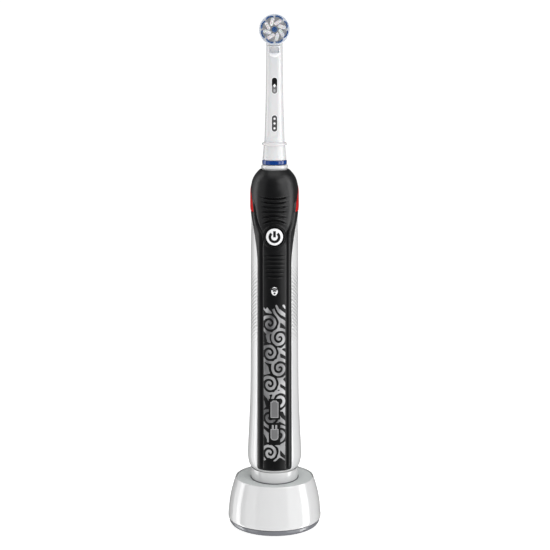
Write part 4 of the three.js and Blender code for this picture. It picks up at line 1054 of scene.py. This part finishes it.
# The oval window's bezel and lens, from the back edge in to the face: (margin outside the oval, lift).
STATUS_BEZEL = ((0.05, -0.9), (0.05, -0.12), (-0.02, -0.04), (-0.5, -0.02))
STATUS_LENS = ((-0.42, -0.5), (-0.42, -0.02), (-0.5, 0.03), (-0.9, 0.06))
# The sign in it: a dot below the window's middle with two arcs over it.
GLYPH_LIFT, DOT_RADIUS, DOT_DROP = 0.12, 0.5, 1.1
WAVE_RADII, WAVE_STROKE = (1.4, 2.4), 0.72
WAVE_FROM, WAVE_TO = math.radians(52), math.radians(128)


def make_status_window(look):
    shape = window_piece(status_outline, STATUS_BEZEL)
    make_piece("status_bezel", shape, "handle", look["black_gloss"])
    shape = window_piece(status_outline, STATUS_LENS)
    make_piece("status_lens", shape, "handle", look["button_white"], ("status_window",))
    source = (STATUS_LOW.z + STATUS_HIGH.z) / 2 - DOT_DROP
    waves = [patch(circle(DOT_RADIUS, source, 16), lift=GLYPH_LIFT)]
    for radius in WAVE_RADII:
        waves.append(ribbon(arc(radius, source, WAVE_FROM, WAVE_TO, 12), WAVE_STROKE, lift=GLYPH_LIFT))
    make_piece("status_glyph", joined(waves), "handle", look["black_print"])


def rounded_box(x_low, x_high, z_low, z_high, corner, steps=4):
    outline = []
    for cx, cz, start in ((x_high - corner, z_high - corner, 0), (x_low + corner, z_high - corner, 90),
                          (x_low + corner, z_low + corner, 180), (x_high - corner, z_low + corner, 270)):
        for k in range(steps + 1):
            angle = math.radians(start + 90 * k / steps)
            outline.append((cx + corner * math.cos(angle), cz + corner * math.sin(angle)))
    return outline


PRINT_CELL = 0.14              # mm, the size of the squares that a printed field is worked out on
PRINT_EDGE = 0.3               # mm, the pale line around a pictogram


def box_inside(x, z, half, low, high, corner):
    """How far inside a round-cornered box each place is, negative outside."""
    across = np.abs(x) - (half - corner)
    along = np.abs(z - (low + high) / 2) - ((high - low) / 2 - corner)
    outside = np.hypot(np.maximum(across, 0), np.maximum(along, 0))
    return corner - outside - np.minimum(np.maximum(across, along), 0)


def battery_inside(x, z):
    """A standing battery: a round-cornered body with a shallow cap on top."""
    half, low, high = BATTERY_HIGH.x, BATTERY_LOW.z, BATTERY_HIGH.z
    body = box_inside(x, z, half, low, high - 0.65, 0.3)
    return np.maximum(body, box_inside(x, z, half * 0.62, high - 3.0, high, 0.45))


def plug_inside(x, z):
    """A plug from the front: two prongs, square shoulders and a round lower end."""
    half, low, shoulder = CHARGE_HIGH.x, CHARGE_LOW.z + 1.6, CHARGE_HIGH.z - 2.3
    body = np.minimum(box_inside(x, z, half, low, shoulder + 2, half * 0.85), shoulder - z)
    return np.maximum(body, box_inside(np.abs(x) - 0.9, z, 0.45, shoulder - 1, CHARGE_HIGH.z - 0.1, 0.15))


def printed(inside, low, high, margin, lift):
    """The places at least margin inside a printed shape, as a thin solid on the handle's front."""
    xs = np.arange(low.x - 0.5, high.x + 0.5, PRINT_CELL)
    zs = np.arange(low.z - 0.5, high.z + 0.5, PRINT_CELL)
    return contour_solid(inside(*np.meshgrid(xs, zs)) - margin, xs, zs, lift=lift, thickness=0.05)


def make_pictograms(look):
    """Battery and plug pictograms over their windows: grey fields with a pale edge."""
    for name, inside, low, high in (("battery", battery_inside, BATTERY_LOW, BATTERY_HIGH),
                                    ("charge", plug_inside, CHARGE_LOW, CHARGE_HIGH)):
        shape = printed(inside, low, high, 0.0, lift=0.02)
        make_piece(name + "_edge", shape, "handle", look["pale_print"], (name + "_window",))
        shape = printed(inside, low, high, PRINT_EDGE, lift=0.035)
        make_piece(name + "_field", shape, "handle", look["grey_print"])


# ------------------------------------------------------------------ the curls on the front

PATTERN_BOTTOM, PATTERN_TOP = 38.6, 120.6
PATTERN_HALF_WIDTH = 5.5
PATTERN_CELL = 0.2             # mm, the size of the squares that the pattern is worked out on
CURL_PITCH = 2.5               # mm from one turn of a curl to the next
CURL_REACH = 4.5               # mm, the radius of a curl
CURL_OFFSET = 2.5              # mm that a curl's middle stands to the side
FIRST_CURL, CURL_STEP, CURL_STEP_LOSS = 4.4, 9.6, 2.6      # mm, up the pattern
PICTOGRAM_MARGIN = 1.0         # black left clear around the pictograms


def curl_centres():
    """Curls that swap sides as they climb, a little closer together towards the top."""
    centres, z, side = [], PATTERN_BOTTOM + FIRST_CURL, -1
    while z < PATTERN_TOP - 3:
        centres.append((side * CURL_OFFSET, z, side))
        z += CURL_STEP - CURL_STEP_LOSS * (z - PATTERN_BOTTOM) / (PATTERN_TOP - PATTERN_BOTTOM)
        side = -side
    return centres


def pattern_field(x, z):
    """Positive where the print is silver: spirals around each centre, slanting waves between them."""
    waves = np.cos(1.9 * x + 0.9 * z + 2.2 * np.sin(0.33 * z) + 1.1 * np.sin(0.8 * x))
    total, weights = 0.12 * (waves + 0.15), np.full(x.shape, 0.12)
    for cx, cz, way in curl_centres():
        dx, dz = x - cx, (z - cz) * 0.92
        radius = np.hypot(dx, dz)
        arms = np.cos(way * np.arctan2(dz, dx) + 2 * math.pi * radius / CURL_PITCH + 0.5 * way) + 0.12
        weight = np.exp(-(radius / CURL_REACH) ** 5)
        total, weights = total + weight * arms, weights + weight
    field = total / weights
    top = PATTERN_TOP - 1.2 + 1.2 * np.sin(1.7 * x) - z
    bottom = z - PATTERN_BOTTOM - 0.9 + 0.9 * np.cos(1.1 * x)
    field = np.minimum.reduce([field, PATTERN_HALF_WIDTH - np.abs(x), top, bottom])
    return np.minimum(field, pictogram_distance(x, z))


def pictogram_distance(x, z):
    """How far outside both pictograms' clear margins a place is."""
    away = np.full(x.shape, 9.0)
    for low, high in ((BATTERY_LOW, BATTERY_HIGH), (CHARGE_LOW, CHARGE_HIGH)):
        beside = np.abs(x) - high.x
        above = np.abs(z - (low.z + high.z) / 2) - (high.z - low.z) / 2
        away = np.minimum(away, np.maximum(beside, above) - PICTOGRAM_MARGIN)
    return away


FIELD_NEVER_WITHIN = 0.004     # values nearer to zero than this are moved off it
CROSSING_MARGIN = 0.03         # the share of a square's side that a crossing keeps from its corners


def contour_solid(field, xs, zs, lift, thickness):
    """A thin closed solid over the places where the field is positive, cut along its zero line."""
    field = np.where(np.abs(field) < FIELD_NEVER_WITHIN, FIELD_NEVER_WITHIN, field)
    points, faces = [], []

    def add_loop(loop, open_edges):
        """The loop's top and bottom faces, and a wall along each edge that lies on the zero line."""
        start, count = len(points), len(loop)
        points.extend(on_front(x, z, lift) for x, z in loop)
        points.extend(on_front(x, z, lift - thickness) for x, z in loop)
        faces.append(tuple(range(start, start + count)))
        faces.append(tuple(range(start + 2 * count - 1, start + count - 1, -1)))
        for i in open_edges:
            j = (i + 1) % count
            faces.append((start + i, start + i + count, start + j + count, start + j))

    for r in range(len(zs) - 1):
        for c in range(len(xs) - 1):
            corners = [(xs[c], zs[r], field[r, c]), (xs[c + 1], zs[r], field[r, c + 1]),
                       (xs[c + 1], zs[r + 1], field[r + 1, c + 1]), (xs[c], zs[r + 1], field[r + 1, c])]
            if max(value for _, _, value in corners) <= 0:
                continue
            loop, crossings = [], []
            for (x0, z0, v0), (x1, z1, v1) in zip(corners, corners[1:] + corners[:1]):
                if v0 > 0:
                    loop.append((x0, z0))
                if (v0 > 0) != (v1 > 0):
                    t = min(max(v0 / (v0 - v1), CROSSING_MARGIN), 1 - CROSSING_MARGIN)
                    crossings.append((len(loop), v0 > 0))
                    loop.append((x0 + (x1 - x0) * t, z0 + (z1 - z0) * t))
            add_loop(loop, [i for i, leaving in crossings if leaving])
    return points, faces


def make_pattern(look):
    xs = np.arange(-PATTERN_HALF_WIDTH - PATTERN_CELL, PATTERN_HALF_WIDTH + 2 * PATTERN_CELL, PATTERN_CELL)
    zs = np.arange(PATTERN_BOTTOM - PATTERN_CELL, PATTERN_TOP + 2 * PATTERN_CELL, PATTERN_CELL)
    shape = contour_solid(pattern_field(*np.meshgrid(xs, zs)), xs, zs, lift=0.03, thickness=0.05)
    make_piece("front_curls", shape, "handle", look["silver"])


# ------------------------------------------------------------------ charger

SHELL_LOW, SHELL_HIGH = box_mm("charger_shell")
PLATE_LOW, PLATE_HIGH = box_mm("top_plate")
COLLAR_LOW, COLLAR_HIGH = box_mm("seat_collar")
POST_LOW, POST_HIGH = box_mm("charging_post")
GLAND_LOW, GLAND_HIGH = box_mm("cord_gland")
CHARGER_SIDES, COLLAR_SIDES = 144, 120
COLLAR_RATIO = COLLAR_HIGH.y / COLLAR_HIGH.x
COLLAR_ROUND_WITHIN = 7        # mm; nearer to the post than this the collar is round, not oval
SHELL_WALL = 2.2
SHELL_WALL_TOP = 21.5          # mm, the height where the inside of the shell's wall ends
GLAND_HOLE = 3.45              # mm, the radius of the hole around the cord gland
GLAND_CUT = (15, 30)           # mm, the depths (y) between which that hole is cut

# The shell's waisted side above its foot: (height, radius).
SHELL_SIDE = (
    (8.0, 24.25), (11.3, 23.95), (14.6, 23.5), (17.9, 22.85), (21.2, 22.0), (24.0, 21.15), (25.6, 20.68),
)
# The ledge under its top plate: (radius, height), and its rim: (radius, height, fillet).
SHELL_LEDGE = [(18.6, 24.0), (18.6, 22.2)]
SHELL_RIM = (
    (20.62, 25.7, 0), (20.5, SHELL_HIGH.z, 0.3), (20.2, SHELL_HIGH.z, 0.15), (20.2, 24.0, 0),
)
# Outlines of the turned pieces: (radius, height, fillet).
PLATE_EDGE = PLATE_HIGH.x - 0.05
PLATE_OUTLINE = (
    (5.75, PLATE_LOW.z, 0), (PLATE_EDGE, PLATE_LOW.z, 0.1), (PLATE_EDGE, PLATE_HIGH.z, 0.2),
    (5.75, PLATE_HIGH.z, 0.1),
)
COLLAR_INSIDE, COLLAR_FLOOR = COLLAR_HIGH.x - 1.1, 26.7
COLLAR_OUTLINE = (
    (5.9, COLLAR_LOW.z, 0.1), (12.4, COLLAR_LOW.z, 0.2), (12.6, COLLAR_HIGH.z, 0.3),
    (12.2, COLLAR_HIGH.z, 0.12), (COLLAR_INSIDE, COLLAR_HIGH.z - 1.2, 0.3),
    (COLLAR_INSIDE, COLLAR_FLOOR, 0.3), (5.9, COLLAR_FLOOR, 0.1),
)
# A thin dark ring at the collar's foot: a painted shadow line where the collar meets the top plate.
COLLAR_SHADOW_RING_OUTLINE = (
    (9.0, PLATE_HIGH.z - 0.05, 0), (12.72, PLATE_HIGH.z - 0.05, 0), (12.72, COLLAR_LOW.z + 0.1, 0.12),
    (9.0, COLLAR_LOW.z - 0.02, 0),
)
POST_OUTLINE = (
    (4.5, POST_LOW.z, 0), (8.5, POST_LOW.z, 0.1), (8.5, 24.0, 0.1), (5.4, 24.0, 0.1),
    (5.4, POST_HIGH.z, 1.2), (0, POST_HIGH.z, 0), (0, POST_HIGH.z - 0.9, 0), (4.5, POST_HIGH.z - 0.9, 0.2),
)
BASE_OUTLINE = (
    (0, 0.3, 0), (18.3, 0.3, 0.1), (18.3, 1.4, 0), (20.9, 1.4, 0), (20.9, 0.3, 0.1), (21.85, 0.3, 0.5),
    (22.9, 0.85, 1.2), (23.75, 2.0, 1.2), (24.05, 3.5, 0.1), (21.2, 3.5, 0), (21.2, 6.2, 0.2),
    (19.4, 6.2, 0.2), (19.4, 3.5, 0), (0, 3.5, 0),
)
FOOT_OUTLINE = ((18.6, 0, 0.2), (20.6, 0, 0.2), (20.6, 1.1, 0), (18.6, 1.1, 0))


def make_charger_shell(look):
    """The waisted shell: its side and rim outside, its wall inside, and the hole for the gland."""
    reach, low = SHELL_HIGH.x, SHELL_LOW.z
    side = monotone([(low, reach - 0.15), (low + 1.4, reach), *SHELL_SIDE])
    outer = [(side(z), z) for z in spaced(low + 0.35, SHELL_SIDE[-1][0], 0.6)]
    inner = [(side(z) - SHELL_WALL, z) for z in spaced(low + 1, SHELL_WALL_TOP, 2.0)][::-1]
    foot = [(side(low) - SHELL_WALL, low), (side(low) - 0.4, low), (side(low) - 0.12, low + 0.1)]
    shape = lathe(outer + filleted(SHELL_RIM) + SHELL_LEDGE + inner + foot, CHARGER_SIDES)
    material = look["white_gloss"]
    shell = make_piece("charger_shell_skin", shape, "charger", material, ("charger_shell",))
    carve(shell, [(circle(GLAND_HOLE, (GLAND_LOW.z + GLAND_HIGH.z) / 2 - 0.5, 48), *GLAND_CUT)])


def make_seat_collar(look):
    """The oval collar that the handle stands in, with a floor whose hole for the post is round, and a dark
    ring at its foot that is a painted contact shadow.
    """
    points, faces = lathe(filleted(COLLAR_OUTLINE), COLLAR_SIDES, ratio=COLLAR_RATIO)
    near_post = np.hypot(points[:, 0], points[:, 1]) < COLLAR_ROUND_WITHIN
    points[near_post, 1] /= COLLAR_RATIO
    material = look["white_gloss"]
    make_piece("seat_collar_skin", (points, faces), "charger", material, ("seat_collar",))
    # The dark ring is painted contact shadow under the collar.
    shape = lathe(filleted(COLLAR_SHADOW_RING_OUTLINE), COLLAR_SIDES, ratio=COLLAR_RATIO)
    make_piece("collar_shadow_ring", shape, "charger", look["frame_grey"])


def make_turned(look, node, outline, slot, sides=CHARGER_SIDES):
    """A turned piece of the charger that stands for one CAD node."""
    make_piece(node + "_skin", lathe(filleted(outline), sides), "charger", look[slot], (node,))


def make_charger(look):
    make_charger_shell(look)
    make_turned(look, "top_plate", PLATE_OUTLINE, "plate_grey")
    make_seat_collar(look)
    make_turned(look, "charging_post", POST_OUTLINE, "white_gloss", sides=64)
    make_turned(look, "base_plate", BASE_OUTLINE, "base_grey")
    make_turned(look, "foot_ring", FOOT_OUTLINE, "seal_rubber")


# ------------------------------------------------------------------ neck, shaft and brush head

RING_LOW, RING_HIGH = box_mm("id_ring")
DISC_LOW, DISC_HIGH = box_mm("brush_disc")
DISC_Z = (DISC_LOW.z + DISC_HIGH.z) / 2
TUFT_LOW = box_mm("outer_tufts")[0]
SHAFT_LOW, SHAFT_HIGH = box_mm("drive_shaft")
SHAFT_FLAT_FROM, SHAFT_FLAT = 194.0, 1.3       # mm: where the shaft's flat begins, how far behind its axis
NECK_FLAT = 0.42               # mm, how much the tube's front is flattened
TUBE_LOW, TUBE_TOP = 204.0, 252.5

# The tube's radius at each height.
tube_radius = monotone([
    (202.8, 5.12), (213.5, 4.77), (223.6, 4.46), (233.6, 4.29), (243.6, 4.18), (253.0, 4.13),
])
# Outlines of turned pieces: (radius, height, fillet), and (radius, depth, fillet) for the cup's back.
NECK_COLLAR_OUTLINE = (
    (2.35, 190.8, 0.1), (6.5, 190.8, 0.3), (6.85, 190.1, 0.3), (6.8, 189.3, 0.3), (6.5, 188.7, 0.3),
    (6.5, 178.0, 0.1), (4.9, 178.0, 0), (4.9, 187.3, 0), (2.35, 187.3, 0),
)
ID_RING_BOTTOM = RING_LOW.z + 0.2
ID_RING_OUTLINE = (
    (5.3, ID_RING_BOTTOM, 0.1), (6.3, ID_RING_BOTTOM, 0.3), (6.3, RING_HIGH.z, 0.3), (5.3, RING_HIGH.z, 0.1),
)
SPIGOT_LOW = RING_LOW.z + 0.05
SKIRT_OUTLINE = (
    (3.75, SPIGOT_LOW, 0.1), (5.2, SPIGOT_LOW, 0.1), (5.2, 193.35, 0), (6.0, 193.35, 0.2),
    (6.08, 193.9, 0.2), (5.5, 200.3, 0.1), (5.5, 200.8, 0.05), (6.2, 200.9, 0.3), (6.4, 201.4, 0.4),
    (6.3, 202.0, 0.4), (5.14, 202.3, 0.2), (5.05, 205.0, 0), (3.75, 205.0, 0),
)
CUP_BACK_OUTLINE = (
    (0, 4.45, 0), (4.4, 4.4, 1.0), (6.3, 3.0, 1.6), (6.75, 0.6, 1.0), (6.75, -2.2, 0.1), (0, -2.2, 0),
)
CUP_VOXEL, CUP_SMOOTHINGS = 0.24, 14   # mm, and how many times the join of tube and cup is smoothed
# What is cut away from the front (left, right, low, high), and the depths (y) that the cuts reach.
OPEN_FRONT = (-20, 20, 250.6, 290)
NECK_WINDOW = (-2.35, 2.35, 247.2, 249.9)
CUP_HOLLOW = 4.9               # mm, the radius of the room behind the disc
CUT_FROM, CUP_FRONT, WINDOW_FLOOR, CUP_FLOOR = -20, -2.25, -2.7, 1.9


def make_neck_collar(look):
    shape = lathe(filleted(NECK_COLLAR_OUTLINE), 96)
    make_piece("neck_collar_skin", shape, "drive_unit", look["white_gloss"], ("neck_collar",))


def make_drive_shaft(look):
    """The steel shaft, with a flat on its back and a tapered end."""
    radius, top = SHAFT_HIGH.x, SHAFT_HIGH.z
    rings = []
    for z in (SHAFT_LOW.z, SHAFT_FLAT_FROM - 0.02, SHAFT_FLAT_FROM, top - 0.4, top):
        size = radius * (0.85 if z == top else 1.0)
        deepest = SHAFT_FLAT if z >= SHAFT_FLAT_FROM else radius
        rings.append([(x, min(y, deepest), z) for x, y in circle(size, 0)])
    make_piece("drive_shaft_skin", ringed(rings), "shaft", look["steel"], ("drive_shaft",))


def make_skirt(look):
    """The tube's lower end: skirt, waist and flange, down to the spigot inside the ring."""
    shape = lathe(filleted(SKIRT_OUTLINE), 96)
    make_piece("head_skirt", shape, "head", look["head_white"])


def tube_ring(z, sides=72):
    """One ring of the tapered tube; its front is flattened above the skirt."""
    radius = tube_radius(z)
    flat = radius - NECK_FLAT * smoothstep(202.5, 205.5, z)
    ring = []
    for i in range(sides):
        angle = 2 * math.pi * i / sides
        x, y = radius * math.sin(angle), -radius * math.cos(angle)
        ring.append((x, y if y >= -flat else -flat - (abs(y) - flat) * 0.15, z))
    return ring


def grow_cup(tube, look):
    """Joins the round cup behind the disc to the tube, and smooths the join."""
    shape = lathe_y(filleted(CUP_BACK_OUTLINE, 8), DISC_Z, 96)
    cup = make_piece("cup", shape, None, look["head_white"])
    union = tube.modifiers.new("cup", "BOOLEAN")
    union.operation, union.solver, union.object = "UNION", "MANIFOLD", cup
    bake_modifiers(tube)
    remesh = tube.modifiers.new("remesh", "REMESH")
    remesh.mode, remesh.voxel_size = "VOXEL", CUP_VOXEL * MM
    smooth = tube.modifiers.new("smooth", "SMOOTH")
    smooth.factor, smooth.iterations = 0.5, CUP_SMOOTHINGS
    bake_modifiers(tube)
    bpy.data.objects.remove(cup)


def make_head_tube(look):
    """The tapered tube that grows into the round cup behind the disc."""
    shape = ringed([tube_ring(z) for z in spaced(TUBE_LOW, TUBE_TOP, 0.9)])
    tube = make_piece("head_tube_skin", shape, "head", look["head_white"], ("head_tube",))
    grow_cup(tube, look)
    carve(tube, [
        (rounded_box(*OPEN_FRONT, 1.0), CUT_FROM, CUP_FRONT),
        (rounded_box(*NECK_WINDOW, 0.25), CUT_FROM, WINDOW_FLOOR),
        (circle(CUP_HOLLOW, DISC_Z), -2.6, CUP_FLOOR),
    ])


LIP_HALF_WIDTH, LIP_TOP, LIP_SAG, LIP_SWELL = 2.9, 247.3, 2.3, 0.8


def make_lip(look):
    """The crescent-shaped lip under the window in the neck's front, made in a lighter white than the head as
    a painted highlight.
    """
    outer, inner = [], []
    for down in np.linspace(0, 1, 15):
        front, back = [], []
        for across in np.linspace(-1, 1, 31):
            x = LIP_HALF_WIDTH * across
            z = LIP_TOP - LIP_SAG * (1 - across * across) * down - 0.25 * down
            lift = LIP_SWELL * math.sin(math.pi * min(down + 0.12, 1.0)) ** 0.6 * (1 - across ** 4)
            radius = tube_radius(z)
            y = -min(math.sqrt(radius ** 2 - x * x), radius - NECK_FLAT)
            front.append((x, y - lift - 0.01, z))
            back.append((x, y + 0.4, z))
        outer.append(front)
        inner.append(back)
    shape = slab(np.array(outer), np.array(inner))
    # button_white is lighter than head_white: a painted highlight on the lip.
    make_piece("neck_lip", shape, "head", look["button_white"])


def on_neck(x, z, lift):
    """A point on the flattened front of the neck."""
    return Vector((x, -(tube_radius(z) - NECK_FLAT) - 0.03 * (2 - abs(x)) - lift, z))


def pill(low, high, half):
    """The outline of a standing pill shape."""
    return arc(half, high - half, 0, math.pi, 12) + arc(half, low + half, math.pi, 2 * math.pi, 12)


MARK_Z, MARK_REACH, MARK_HALF_WIDTH = 230.9, 4.0, 1.35
MARK_BAR_LOW, MARK_BAR_HIGH = MARK_Z - 3.2, MARK_Z - 1.7
SECOND_MARK_LOW, SECOND_MARK_HIGH = 207.9, 216.1
MARK_RIM = 0.35                # mm, how far the pale rim stands out around a mark
DOT_INSET = 1.7                # mm from a mark's end to the middle of its outer dot
DIAMOND = ((0.75, 0), (0, 0.95), (-0.75, 0), (0, -0.95))
RIM_LIFT, FIELD_LIFT, SIGN_LIFT = 0.05, 0.09, 0.13
MARK_THICKNESS = 0.12


def rimmed(low, high, half):
    """The outline of the rim around a mark."""
    return pill(low - MARK_RIM, high + MARK_RIM, half + MARK_RIM)


def make_neck_marks(look):
    """Two pill-shaped marks on the neck: a two-tone one with a diamond, and a grey one with three dots."""
    half, low, high = MARK_HALF_WIDTH, MARK_Z - MARK_REACH, MARK_Z + MARK_REACH
    outline = pill(low, high, half)
    upper = [(x, z) for x, z in outline if z >= MARK_Z] + [(-half, MARK_Z), (half, MARK_Z)]
    lower = [(half, MARK_Z), (-half, MARK_Z)] + [(x, z) for x, z in outline if z < MARK_Z]
    diamond = [(x, MARK_Z + z) for x, z in DIAMOND]
    second_middle = (SECOND_MARK_LOW + SECOND_MARK_HIGH) / 2
    dots = [circle(0.55, z, 16)
            for z in (SECOND_MARK_LOW + DOT_INSET, second_middle, SECOND_MARK_HIGH - DOT_INSET)]
    marks = (
        ("mark_rim", [rimmed(low, high, half)], RIM_LIFT, "button_white"),
        ("mark_dark_half", [upper], FIELD_LIFT, "black_print"),
        ("mark_grey_half", [lower], FIELD_LIFT, "grey_print"),
        ("mark_bar", [pill(MARK_BAR_LOW, MARK_BAR_HIGH, 0.5)], SIGN_LIFT, "pale_print"),
        ("mark_diamond", [diamond], SIGN_LIFT, "button_white"),
        ("second_mark_rim", [rimmed(SECOND_MARK_LOW, SECOND_MARK_HIGH, half)], RIM_LIFT, "button_white"),
        ("second_mark", [pill(SECOND_MARK_LOW, SECOND_MARK_HIGH, half)], FIELD_LIFT, "dark_print"),
        ("second_mark_dots", dots, SIGN_LIFT, "button_white"),
    )
    for name, outlines, lift, finish in marks:
        shape = joined([patch(outline, lift, MARK_THICKNESS, on_neck) for outline in outlines])
        make_piece(name, shape, "head", look[finish])


def make_id_ring(look):
    shape = lathe(filleted(ID_RING_OUTLINE), 96)
    make_piece("id_ring_skin", shape, "head", look["ring_blue"], ("id_ring",))


def make_disc(look):
    radius, front, back = DISC_HIGH.x + 0.2, DISC_LOW.y, DISC_HIGH.y
    sunk = front + 0.3
    outline = filleted([
        (0, sunk, 0), (radius - 0.5, sunk, 0.1), (radius - 0.42, front, 0.1), (radius, front, 0.25),
        (radius, back, 0.4), (0, back, 0),
    ], 4)
    shape = lathe_y(outline, DISC_Z, 96)
    make_piece("brush_disc_skin", shape, "disc", look["disc_white_painted_glow"], ("brush_disc",))


def filament(x, z, root_y, length, radius, lean):
    """One bristle: a thin six-sided strand with a rounded tip."""
    sides, points = 6, []
    for share, size in ((0, 1.0), (0.96, 1.0), (0.992, 0.75)):
        for i in range(sides):
            angle = 2 * math.pi * i / sides
            points.append((x + lean[0] * share + radius * size * math.cos(angle), root_y - length * share,
                           z + lean[1] * share + radius * size * math.sin(angle)))
    points.append((x + lean[0], root_y - length, z + lean[1]))
    faces = quads(3, sides, wrap_columns=True)
    tip = 3 * sides
    faces += [(tip - sides + i, tip - sides + (i + 1) % sides, tip) for i in range(sides)]
    faces.append(tuple(range(sides - 1, -1, -1)))
    return points, faces


TUFT_COUNT = 8
TUFT_TURN = 2 * math.pi / TUFT_COUNT
FILAMENT_SPACING, FILAMENT_RADIUS = 0.235, 0.118
PLACE_JITTER = 0.02            # mm that a filament may stand off its place
SHORTER, LONGER = 0.10, 0.06   # mm that a filament may differ in length
TUFTS_REACH = 7.2              # mm from the disc's middle to the outermost filaments
ARC_RADIUS, ARC_HALF_THICKNESS, ARC_HALF_TURN = 6.62, 0.36, 0.31
PETAL_RADIUS = 3.85            # mm from the disc's middle to the middle of a petal
PETAL_HALF_LENGTH, PETAL_HALF_WIDTH = 1.22, 0.9
PETAL_PLACE = 0.42             # where in its eighth of the circle a petal stands
PETAL_TILT = math.radians(34)
CENTRE_RADIUS = 1.4
INNER_DROP, CENTRE_DROP = 0.5, 0.3     # mm that the inner tufts end below the outer ones


def jittered(value):
    return value + random.uniform(-PLACE_JITTER, PLACE_JITTER)


def hex_places(inside, spacing, reach):
    """Places in rows half a step apart that lie inside a region."""
    places = []
    row_height = spacing * math.sqrt(3) / 2
    for row in range(-int(reach / row_height), int(reach / row_height) + 1):
        for column in range(-int(reach / spacing), int(reach / spacing) + 1):
            x, z = (column + (row % 2) / 2) * spacing, row * row_height
            if inside(x, z):
                places.append((jittered(x), jittered(z)))
    return places


def in_arc(x, z):
    """Inside one of the thin arcs of the outer ring, each curled in a little at its leading end."""
    radius, angle = math.hypot(x, z), math.atan2(z, x) % TUFT_TURN
    off = (angle - TUFT_TURN / 2) / ARC_HALF_TURN
    curled = ARC_RADIUS - 0.35 * off * off + 0.12 * off
    return abs(off) < 1 and abs(radius - curled) < ARC_HALF_THICKNESS


def in_petal(x, z):
    """Inside one of the round-ended petals that stand like a pinwheel around the middle."""
    for k in range(TUFT_COUNT):
        angle = TUFT_TURN * (k + PETAL_PLACE)
        dx, dz = x - PETAL_RADIUS * math.cos(angle), z - PETAL_RADIUS * math.sin(angle)
        tilt = angle - PETAL_TILT
        along, across = dx * math.cos(tilt) + dz * math.sin(tilt), dz * math.cos(tilt) - dx * math.sin(tilt)
        if math.hypot(max(abs(along) - PETAL_HALF_LENGTH, 0.0), across) < PETAL_HALF_WIDTH:
            return True
    return False


def in_centre(x, z):
    return math.hypot(x, z) < CENTRE_RADIUS


def make_tufts(look):
    root, tip = DISC_LOW.y + 0.25, TUFT_LOW.y
    groups = (
        ("outer_bristles", in_arc, tip, 0.0, "bristle_blue", "outer_tufts"),
        ("inner_bristles", in_petal, tip + INNER_DROP, 0.0, "bristle_white", "inner_tufts"),
        ("centre_bristles", in_centre, tip + CENTRE_DROP, 0.02, "bristle_blue", "centre_tuft"),
    )
    for name, inside, end, splay, slot, node in groups:
        strands = []
        for x, z in hex_places(inside, FILAMENT_SPACING, TUFTS_REACH):
            length = root - end + random.uniform(-SHORTER, LONGER)
            strands.append(filament(x, DISC_Z + z, root, length, FILAMENT_RADIUS, (x * splay, z * splay)))
        shape = joined(strands)
        make_piece(name, shape, "disc", look[slot], (node,))


# ------------------------------------------------------------------ the CAD nodes that stay

CARRIED = {
    "ferrite": ["ferrite_core"],
    "copper": ["primary_coil", "receiver_coil"],
    "board": ["charger_board", "main_board"],
    "seal_rubber": ["cord_gland", "neck_seal", "bottom_seal", "shaft_seal"],
    "frame_grey": ["tact_switch", "chassis"],
    "led_epoxy": ["status_led", "battery_led", "charge_led"],
    "cell_wrap": ["battery_cell"],
    "brass": ["battery_contact_bottom", "battery_contact_top", "lower_bush", "upper_bush", "motor_pinion",
              "crank_gear"],
    "steel": ["pressure_spring", "motor_can", "motor_screw_left", "motor_screw_right", "crank_axle",
              "pivot_pin_left", "pivot_pin_right", "motor_shaft", "rocker_fork", "disc_pin", "tie_rod"],
    "white_satin": ["bottom_cap", "drive_frame", "head_sleeve"],
}


def dress_carried(look):
    for key, nodes in CARRIED.items():
        for node in nodes:
            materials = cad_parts[node].data.materials
            materials.clear()
            materials.append(look[key])


# ------------------------------------------------------------------ the scene

make_camera()
make_lights()
make_floor()
look = make_materials()
dress_carried(look)
make_housing(look)
make_front_grip(look)
make_rear_grip(look)
make_shoulder(look)
make_light_ring(look)
make_button(look)
make_status_window(look)
make_pictograms(look)
make_pattern(look)
make_charger(look)
make_neck_collar(look)
make_drive_shaft(look)
make_skirt(look)
make_head_tube(look)
make_lip(look)
make_neck_marks(look)
make_id_ring(look)
make_disc(look)
make_tufts(look)
